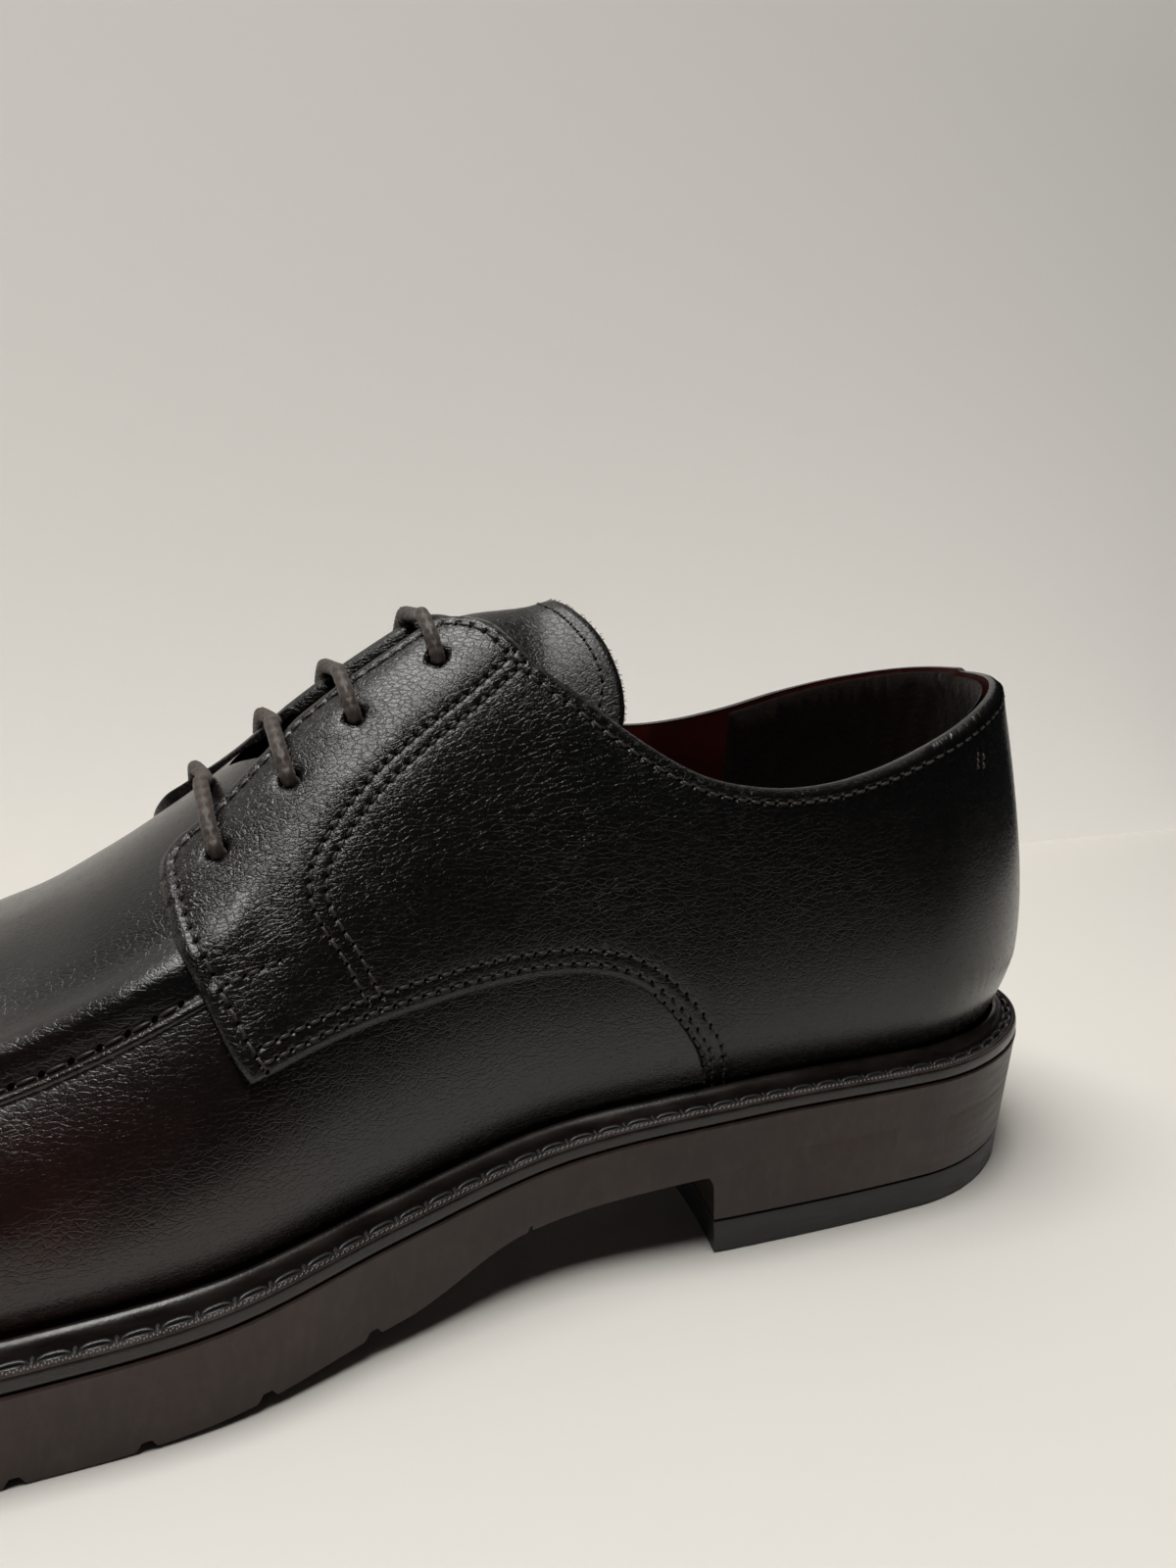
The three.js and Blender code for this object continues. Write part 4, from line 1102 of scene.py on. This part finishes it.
def quarter_body(rows):
    loop, kinds = quarter_loop()
    sheet = Sheet(loop)
    if np.abs(sheet.loop[0] - loop[0]).max() > 1e-9:
        kinds = kinds[::-1]
    holes = []
    rims = []
    for line, pitch in rows:
        for hole in resample(line, pitch):
            holes.append(hole)
            rims.append(circle_line(hole[0] / SOLE_LENGTH, abs(hole[1]) / FLAT, np.sign(hole[1]), 0.4, 6))
    eyelets = []
    for at, down in EYELETS:
        for side in (1, -1):
            for radius, count in ((0.9, 8), (1.4, 12), (EYELET_RADIUS, 14), (2.3, 16), (3.1, 18)):
                eyelets.append(circle_line(at, down, side, radius, count))
    sheet.add(np.concatenate(eyelets), 0.1)
    sheet.add(np.array(holes), 0.25)
    sheet.add(np.concatenate(rims), 0.2)
    sheet.rings((0.12, 0.35, 0.7, 1.2))
    for line, _ in rows:
        for offset in (0.0, 0.75, -0.75):
            sheet.add(offset_line(resample(line, 0.7), offset), 0.33)
    sheet.fill(1.7)
    flat, faces = sheet.triangles()
    u, v = flat[:, 0], flat[:, 1]
    placed = last_point(u, v)
    rim_points = last_point(sheet.loop[:, 0], sheet.loop[:, 1])
    edge, which = nearest(placed, rim_points)
    kind = kinds[which]
    step_share = np.clip(1 - (reach_of(u, v) / FLAT - 0.94) / 0.06, 0.08, 1)
    height = QUARTER_STEP * step_share
    turned = np.where(kind == 0, 1.5, 0.9)
    curl = np.clip(edge / turned, 0, 1)
    height = height - np.where(kind == 3, 0, turned * (1 - np.sqrt(1 - (1 - curl) ** 2)))
    lines = np.concatenate([resample(line, 0.5) for line, _ in rows])
    to_line = nearest(placed, last_point(lines[:, 0], lines[:, 1]))[0]
    height = height - 0.16 * np.exp(-(to_line / 0.5) ** 2) + 0.04 * np.exp(-((to_line - 1.4) / 0.6) ** 2)
    pits = np.array(holes)
    to_pit = nearest(placed, last_point(pits[:, 0], pits[:, 1]))[0]
    height = height - np.where(to_pit < 0.2, 1.0, 0)
    for at, down in EYELETS:
        for side in (1, -1):
            centre = last_point(np.array([at * SOLE_LENGTH]), np.array([side * down * FLAT]))
            away = np.linalg.norm(placed - centre, axis=1)
            height = height - 2.6 * (1 - ramp(away, EYELET_RADIUS - 0.75, EYELET_RADIUS + 0.25))
            height = height - 0.15 * (1 - ramp(away, EYELET_RADIUS, EYELET_RADIUS + 2.0))
    height = height + soft_creases(u, v, QUARTER_CREASES) + quarter_lift(u, v)
    band = np.where(kind == 3, 0, np.exp(-((edge - 1.6) / 0.7) ** 2))
    height = height + 0.1 * band
    count = len(sheet.loop)
    skirt = np.where(kinds == 0, -1.0, np.where(kinds == 3, -0.5, -0.35))
    low = skin_point(sheet.loop[:, 0], sheet.loop[:, 1], skirt)
    points = np.concatenate([skin_point(u, v, height), low])
    first = len(flat)
    for i in range(count):
        j = (i + 1) % count
        faces.append((j, i, first + i, first + j))
    return make_piece("quarters", points, faces)


def stitch_threads(name, rows, height_at, radius=0.23):
    parts = []
    for line, pitch in rows:
        holes = resample(line, pitch)
        for a, b in zip(holes[:-1], holes[1:]):
            t = np.array([0.14, 0.26, 0.5, 0.74, 0.86])
            flat = a + (b - a) * t[:, None]
            lift = np.array([-0.4, 0.0, 0.1, 0.0, -0.4])
            height = height_at(flat[:, 0], flat[:, 1]) + lift
            thick = radius * np.array([0.8, 1, 1.08, 1, 0.8])
            parts.append(tube_ring(skin_point(flat[:, 0], flat[:, 1], height), thick, 6))
    return make_piece(name, *join_parts(parts))


def hole_shade_discs(name, rows, height_at, radius):
    """Small discs that close the bottoms of the needle holes. Dressed black
    without gloss, they are painted shade for the dark inside of each hole.
    """
    points = []
    faces = []
    for line, pitch in rows:
        for u, v in resample(line, pitch):
            rim = circle_line(u / SOLE_LENGTH, abs(v) / FLAT, np.sign(v), radius, 7)
            height = height_at(rim[:, 0], rim[:, 1])
            faces.append(tuple(len(points) + i for i in range(7))[::int(-np.sign(v)) or 1])
            points += skin_point(rim[:, 0], rim[:, 1], height).tolist()
    return make_piece(name, points, faces)


def quarter_height(u, v):
    step_share = np.clip(1 - (reach_of(u, v) / FLAT - 0.94) / 0.06, 0.08, 1)
    return QUARTER_STEP * step_share - 0.1 + quarter_lift(u, v)


rows = seam_lines()
dress(quarter_body(rows), quarter_leather, "upper_leather", "upper")
seam_thread = thread_material("seam_thread", (0.011, 0.008, 0.007), (0.04, 0.03, 0.025), 0.45)
dress(stitch_threads("quarter_stitches", rows, quarter_height), seam_thread, "upper_leather")
# Black, glossless discs sit deep in the needle holes as painted shade for their dark inside.
painted_hole_shade = new_material("painted_hole_shade", (0.001, 0.001, 0.001), 0.9)[0]
painted_hole_shade.node_tree.nodes["Principled BSDF"].inputs["Specular IOR Level"].default_value = 0.0
quarter_hole_shade = hole_shade_discs("quarter_hole_shade", rows, lambda u, v: quarter_height(u, v) - 0.22, 0.36)
dress(quarter_hole_shade, painted_hole_shade, "upper_leather")

# Apron stitches
# Short saddle stitches lie in the groove under the rolled seam.
APRON_STITCH_DOWN = 56.0
APRON_STITCH_PITCH = 3.9


def apron_stitch_line():
    turn = np.linspace(0, math.pi, 90)
    u = np.linspace(APRON_STARTS + 8, TOE_CENTRE, 80)
    reach = APRON_STITCH_DOWN
    line = np.concatenate([
        np.stack([u, np.full(80, reach)], axis=1),
        np.stack([TOE_CENTRE + reach * np.sin(turn), reach * np.cos(turn)], axis=1),
        np.stack([u[::-1], np.full(80, -reach)], axis=1),
    ])
    return [(line, APRON_STITCH_PITCH)]


apron_rows = apron_stitch_line()
apron_threads = stitch_threads("apron_stitches", apron_rows, lambda u, v: apron_height(u, v) + 0.1, 0.27)
dress(apron_threads, seam_thread, "upper_leather")
# Painted shade: black discs in the apron's needle holes.
apron_hole_shade = hole_shade_discs("apron_hole_shade", apron_rows, lambda u, v: apron_height(u, v) + 0.06, 0.5)
dress(apron_hole_shade, painted_hole_shade, "upper_leather")

# Lining
# Wine-brown leather lines the quarters, with a soft dark grip round the heel
# that ends in an upright seam at the ankle.
GRIP_FRONT = 0.165


def lining_loop():
    top = np.concatenate(
        [catmull(FACING, 1), collar_line(1), collar_line(-1)[::-1][1:], catmull(FACING, -1)[::-1]])
    nose_u = 0.60 * SOLE_LENGTH
    front = np.array(
        [(0.482 * SOLE_LENGTH, -11.5), (0.52 * SOLE_LENGTH, -12), (nose_u, -14), (nose_u, -103.0)])
    turn = np.linspace(0, math.pi, 60)
    straight = np.linspace(nose_u, HEEL_ROUND, 60)[1:-1]
    rim = np.stack([straight, np.full(len(straight), -103.0)], axis=1)
    fan = np.stack([HEEL_ROUND - 103 * np.sin(turn), -103 * np.cos(turn)], axis=1)
    bottom = np.concatenate([rim, fan, rim[::-1] * (1, -1)])
    pieces = [top, front, bottom, front[::-1] * (1, -1)]
    return np.concatenate([resample(piece, 1.2)[:-1] for piece in pieces])


def lining_body():
    sheet = Sheet(lining_loop())
    sheet.rings((0.3, 0.8, 1.5))
    sheet.fill(3.0)
    flat, faces = sheet.triangles()
    u, v = flat[:, 0], flat[:, 1]
    placed = last_point(u, v)
    edge = nearest(placed, last_point(sheet.loop[:, 0], sheet.loop[:, 1]))[0]
    roll = np.sqrt(np.clip(1 - np.clip(edge / 1.5, 0, 1) ** 2, 0, 1))
    height = -UPPER_WALL + 1.3 * roll * (reach_of(u, v) < 95)
    points = skin_point(u, v, height)
    return make_piece("lining", points, [face[::-1] for face in faces])


def heel_grip():
    rim = 0.6
    sides = [collar_line(side) for side in (1, -1)]
    behind = [line[line[:, 0] < GRIP_FRONT * SOLE_LENGTH] for line in sides]
    tops = [offset_line(line, side * -rim) for line, side in zip(behind, (1, -1))]
    turn = np.linspace(0, math.pi, 60)
    x = tops[0][0, 0]
    straight = np.linspace(x, HEEL_ROUND, 12)[1:-1]
    foot = np.stack([straight, np.full(len(straight), -99.0)], axis=1)
    fan = np.stack([HEEL_ROUND - 99 * np.sin(turn), -99 * np.cos(turn)], axis=1)
    down = np.stack([np.full(20, x), np.linspace(tops[1][0, 1], -99.0, 20)], axis=1)
    bottom = np.concatenate([foot, fan, foot[::-1] * (1, -1)])
    pieces = [np.concatenate([tops[0], tops[1][::-1][1:]]), down, bottom, down[::-1] * (1, -1)]
    sheet = Sheet(np.concatenate([resample(piece, 1.0)[:-1] for piece in pieces]))
    sheet.rings((0.4, 0.9))
    sheet.fill(2.2)
    flat, faces = sheet.triangles()
    u, v = flat[:, 0], flat[:, 1]
    edge = nearest(last_point(u, v), last_point(sheet.loop[:, 0], sheet.loop[:, 1]))[0]
    depth = 0.15 + 0.75 * np.sqrt(np.clip(1 - (1 - np.clip(edge / 0.9, 0, 1)) ** 2, 0, 1))
    wobble = 0.2 * np.sin(u * 0.55 + v * 0.31) * np.sin(v * 0.43 - u * 0.17) * np.clip(edge, 0, 1)
    points = skin_point(u, v, -UPPER_WALL - depth + wobble)
    return make_piece("heel_grip", points, [face[::-1] for face in faces])


def grip_suede():
    material, tree, shader = new_material("grip_suede", (0.008, 0.0045, 0.004), 0.95)
    nap = noise(tree, stretched(tree, (1, 1, 1)), 900.0, 5.0, 0.7)
    worn = blend_colors(tree, nap, (0.003, 0.0015, 0.0013), (0.015, 0.0085, 0.0065))
    tree.links.new(worn, shader.inputs["Base Color"])
    shader.inputs["Sheen Weight"].default_value = 0.08
    shader.inputs["Sheen Roughness"].default_value = 0.5
    shader.inputs["Specular IOR Level"].default_value = 0.1
    set_bump(tree, shader, [(nap, 0.8, 0.0005)])
    return material


dress(lining_body(), wine_lining, "lining")
dress(heel_grip(), grip_suede(), "lining")

# Tongue
# A single layer of the same leather with a stitched border. Its raw edge
# stands up behind the top eyelets.
TONGUE_THICKNESS = 1.8
TONGUE_DROP = 6.2
TONGUE_EDGE = (
    (0.568, 0.000), (0.566, 0.160), (0.555, 0.290), (0.500, 0.400), (0.430, 0.450), (0.370, 0.520),
    (0.335, 0.575), (0.316, 0.548), (0.312, 0.490), (0.316, 0.410), (0.323, 0.335), (0.333, 0.240),
    (0.342, 0.130), (0.346, 0.000),
)


def tongue_sink(u, v):
    at = u / SOLE_LENGTH
    across = np.minimum(1, np.abs(v) / (0.6 * FLAT))
    return TONGUE_DROP * ramp(-at, -0.405, -0.345) * (1 - across ** 2)


def tongue_top(u, v):
    return -UPPER_WALL - CLEAR - tongue_sink(u, v)


def tongue_body():
    outer = catmull(TONGUE_EDGE, 1)
    loop = np.concatenate([outer, outer[::-1][1:-1] * (1, -1)])
    sheet = Sheet(resample(np.concatenate([loop, loop[:1]]), 0.9)[:-1])
    sheet.rings((0.15, 0.5, 1.2))
    sheet.fill(2.0)
    flat, faces = sheet.triangles()
    u, v = flat[:, 0], flat[:, 1]
    edge = nearest(last_point(u, v), last_point(sheet.loop[:, 0], sheet.loop[:, 1]))[0]
    top = tongue_top(u, v)
    rounded = 0.4 * (1 - np.sqrt(1 - (1 - np.clip(edge / 0.5, 0, 1)) ** 2))
    above = skin_point(u, v, top - rounded)
    below = skin_point(u, v, top - TONGUE_THICKNESS + rounded)
    first = len(flat)
    count = len(sheet.loop)
    all_faces = faces + [tuple(first + i for i in face[::-1]) for face in faces]
    for i in range(count):
        j = (i + 1) % count
        all_faces.append((j, i, first + i, first + j))
    return make_piece("tongue", np.concatenate([above, below]), all_faces)


tongue_leather = leather_material(
    "tongue_leather", black, umber, 0.29, front_warmth, quarter_grain, 1100.0, 0.3)
dress(tongue_body(), tongue_leather, "tongue_leather", "tongue")
TONGUE_STITCHES = (
    (0.340, 0.532), (0.328, 0.506), (0.323, 0.462), (0.324, 0.420), (0.328, 0.370), (0.334, 0.310),
    (0.342, 0.225), (0.350, 0.120), (0.353, 0.010),
)


def tongue_fibres():
    """Loose ends of the leather's raw edge, short and thin."""
    chance = np.random.default_rng(7)
    line = resample(catmull(TONGUE_EDGE[6:], 1), 0.28)
    parts = []
    for u, v in np.concatenate([line, line * (1, -1)]):
        depth = tongue_top(u, v) - chance.uniform(0.1, 1.6)
        start = skin_point(np.array([u]), np.array([v]), np.array([depth]))[0]
        away = np.array([-1, 0, 0]) + chance.normal(0, 0.55, 3)
        end = start + away / np.linalg.norm(away) * chance.uniform(0.2, 0.75)
        middle = (start + end) / 2 + chance.normal(0, 0.08, 3)
        parts.append(tube_ring([start, middle, end], np.array([0.07, 0.055, 0.03]), 3))
    return make_piece("tongue_fibres", *join_parts(parts))


fibre = new_material("raw_edge", (0.02, 0.014, 0.012), 0.8)[0]
dress(tongue_fibres(), fibre, "tongue_leather")
tongue_rows = [(catmull(TONGUE_STITCHES, side), 2.3) for side in (1, -1)]
tongue_threads = stitch_threads("tongue_stitches", tongue_rows, lambda u, v: tongue_top(u, v) + 0.02, 0.19)
dress(tongue_threads, seam_thread, "tongue_leather")
# Painted shade: black discs in the tongue's needle holes.
tongue_hole_shade = hole_shade_discs("tongue_hole_shade", tongue_rows, lambda u, v: tongue_top(u, v) + 0.03, 0.34)
dress(tongue_hole_shade, painted_hole_shade, "tongue_leather")

# Laces
# A round waxed cord, braided, laced in straight bars. Each bar comes up out of
# one blind eyelet, crosses the tongue and goes down into the other.
LACE_RADIUS = 1.25
LACE_SIDES = 20
LACE_SAG = 2.0
LACE_SAG_WITHIN = 11


def lace_path(at, down):
    half = down * FLAT
    u = at * SOLE_LENGTH
    share = np.linspace(-1, 1, 61)
    over = QUARTER_STEP + LACE_RADIUS + 0.2
    over = over - LACE_SAG * np.maximum(0, 1 - (share * half / LACE_SAG_WITHIN) ** 2)
    over = over - 1.2 * ramp(np.abs(share), 0.8, 1.0)
    bar = skin_point(np.full(61, u), share * half, over)
    ends = []
    for side in (-1, 1):
        hole_u, hole_v = np.full(4, u), np.full(4, side * half)
        heights = np.array([0.9, -0.4, -1.4, -2.0])
        shift = np.array([0.15, 0.5, 0.6, 0.6]) * side
        ends.append(skin_point(hole_u, hole_v + shift, heights))
    return np.concatenate([ends[0][::-1], bar, ends[1]])


def braided_tube(path):
    points = np.asarray(path, float)
    lengths = np.concatenate([[0], np.cumsum(np.linalg.norm(np.diff(points, axis=0), axis=1))])
    here = np.arange(0, lengths[-1], 0.22)
    line = np.stack([np.interp(here, lengths, points[:, i]) for i in range(3)], axis=1)
    kernel = np.exp(-np.linspace(-2, 2, 13) ** 2)
    kernel /= kernel.sum()
    smooth = line.copy()
    for i in range(3):
        padded = np.pad(line[:, i], 6, mode="edge")
        smooth[:, i] = np.convolve(padded, kernel, mode="valid")
    along = np.gradient(smooth, axis=0)
    along /= np.linalg.norm(along, axis=1)[:, None]
    across = np.cross(along, (1.0, 0.05, 0.1))
    across /= np.linalg.norm(across, axis=1)[:, None]
    over = np.cross(across, along)
    turns = np.arange(LACE_SIDES) / LACE_SIDES * 2 * math.pi
    length = here[:, None] / (2 * math.pi * LACE_RADIUS) * 2 * math.pi * 1.4
    left = np.sin(turns[None] * 5 + length * 2.2)
    right_hand = np.sin(turns[None] * 5 - length * 2.2)
    braid = np.maximum(left, right_hand)
    radius = LACE_RADIUS * (0.9 + 0.1 * braid)
    ring = np.cos(turns)[None, :, None] * across[:, None] + np.sin(turns)[None, :, None] * over[:, None]
    rings = smooth[:, None] + radius[:, :, None] * ring
    faces = [face[::-1] for face in grid_faces(len(here), LACE_SIDES, True)]
    return rings.reshape(-1, 3), faces


lace_thread = thread_material("lace_cord", (0.024, 0.0155, 0.012), (0.075, 0.053, 0.043), 0.55)
for number, (at, down) in enumerate(EYELETS):
    lace = make_piece(f"lace_{number + 1}", *braided_tube(lace_path(at, down)))
    dress(lace, lace_thread, "lace", f"lace_bar_{number + 1}")

# Studio
# A pale floor and wall, lit softly from above and behind, with the dim room on
# the camera's side. The wall glows as painted light, brighter towards the floor,
# and this glow is the light from behind.


def pale_material(name, color, painted_glow=0.0):
    material, tree, shader = new_material(name, color, 0.75)
    speck = noise(tree, stretched(tree, (1, 1, 1)), 500.0, 3.0)
    tree.links.new(remap(tree, speck, 0.3, 0.7, 0.7, 0.8), shader.inputs["Roughness"])
    shader.inputs["Specular IOR Level"].default_value = 0.2
    # Painted light: the wall glows, brighter towards the floor, standing in for light that falls on it.
    if painted_glow:
        shader.inputs["Emission Color"].default_value = (*color, 1)
        painted_wall_light = share_along(tree, "Z", 0.32, 0.03, 0.48 * painted_glow, painted_glow)
        tree.links.new(painted_wall_light, shader.inputs["Emission Strength"])
    return material


def stage_plane(name, corners, material):
    mesh = bpy.data.meshes.new(name)
    mesh.from_pydata(corners, [], [(0, 1, 2, 3)])
    plane = bpy.data.objects.new(name, mesh)
    plane.data.materials.append(material)
    bpy.context.scene.collection.objects.link(plane)


def area_light(name, place, target, size, power, color):
    light = bpy.data.objects.new(name, bpy.data.lights.new(name, "AREA"))
    light.data.shape = "RECTANGLE"
    light.data.size, light.data.size_y = size
    light.data.energy = power
    light.data.color = color
    light.location = place
    direction = Vector(target) - Vector(place)
    light.rotation_euler = direction.to_track_quat("-Z", "Y").to_euler()
    bpy.context.scene.collection.objects.link(light)


WALL_Y = -0.2135
FLOOR_FRONT = 0.21
STAGE_HEEL = -0.47
STAGE_TOE = 1.4
WALL_HEIGHT = 1.1
floor_white = pale_material("floor_white", (0.80, 0.775, 0.735))
# The wall's glow is painted light.
wall_white = pale_material("wall_white", (0.80, 0.775, 0.735), 0.36)
near, far, top = FLOOR_FRONT, WALL_Y, WALL_HEIGHT
stage_plane("floor", [(STAGE_HEEL, far, 0), (STAGE_TOE, far, 0), (STAGE_TOE, near, 0), (STAGE_HEEL, near, 0)],
            floor_white)
stage_plane(
    "wall", [(STAGE_TOE, far, 0), (STAGE_HEEL, far, 0), (STAGE_HEEL, far, top), (STAGE_TOE, far, top)],
    wall_white)
area_light("ceiling", (0.2, 0.02, 1.3), (0.02, 0.0, 0), (1.2, 0.5), 22.5, (1, 0.985, 0.95))

world = bpy.data.worlds.new("room")
bpy.context.scene.world = world
world.use_nodes = True
world.node_tree.nodes["Background"].inputs["Color"].default_value = (0.95, 0.97, 1, 1)
world.node_tree.nodes["Background"].inputs["Strength"].default_value = 0.012
bpy.context.scene.view_settings.view_transform = "Standard"
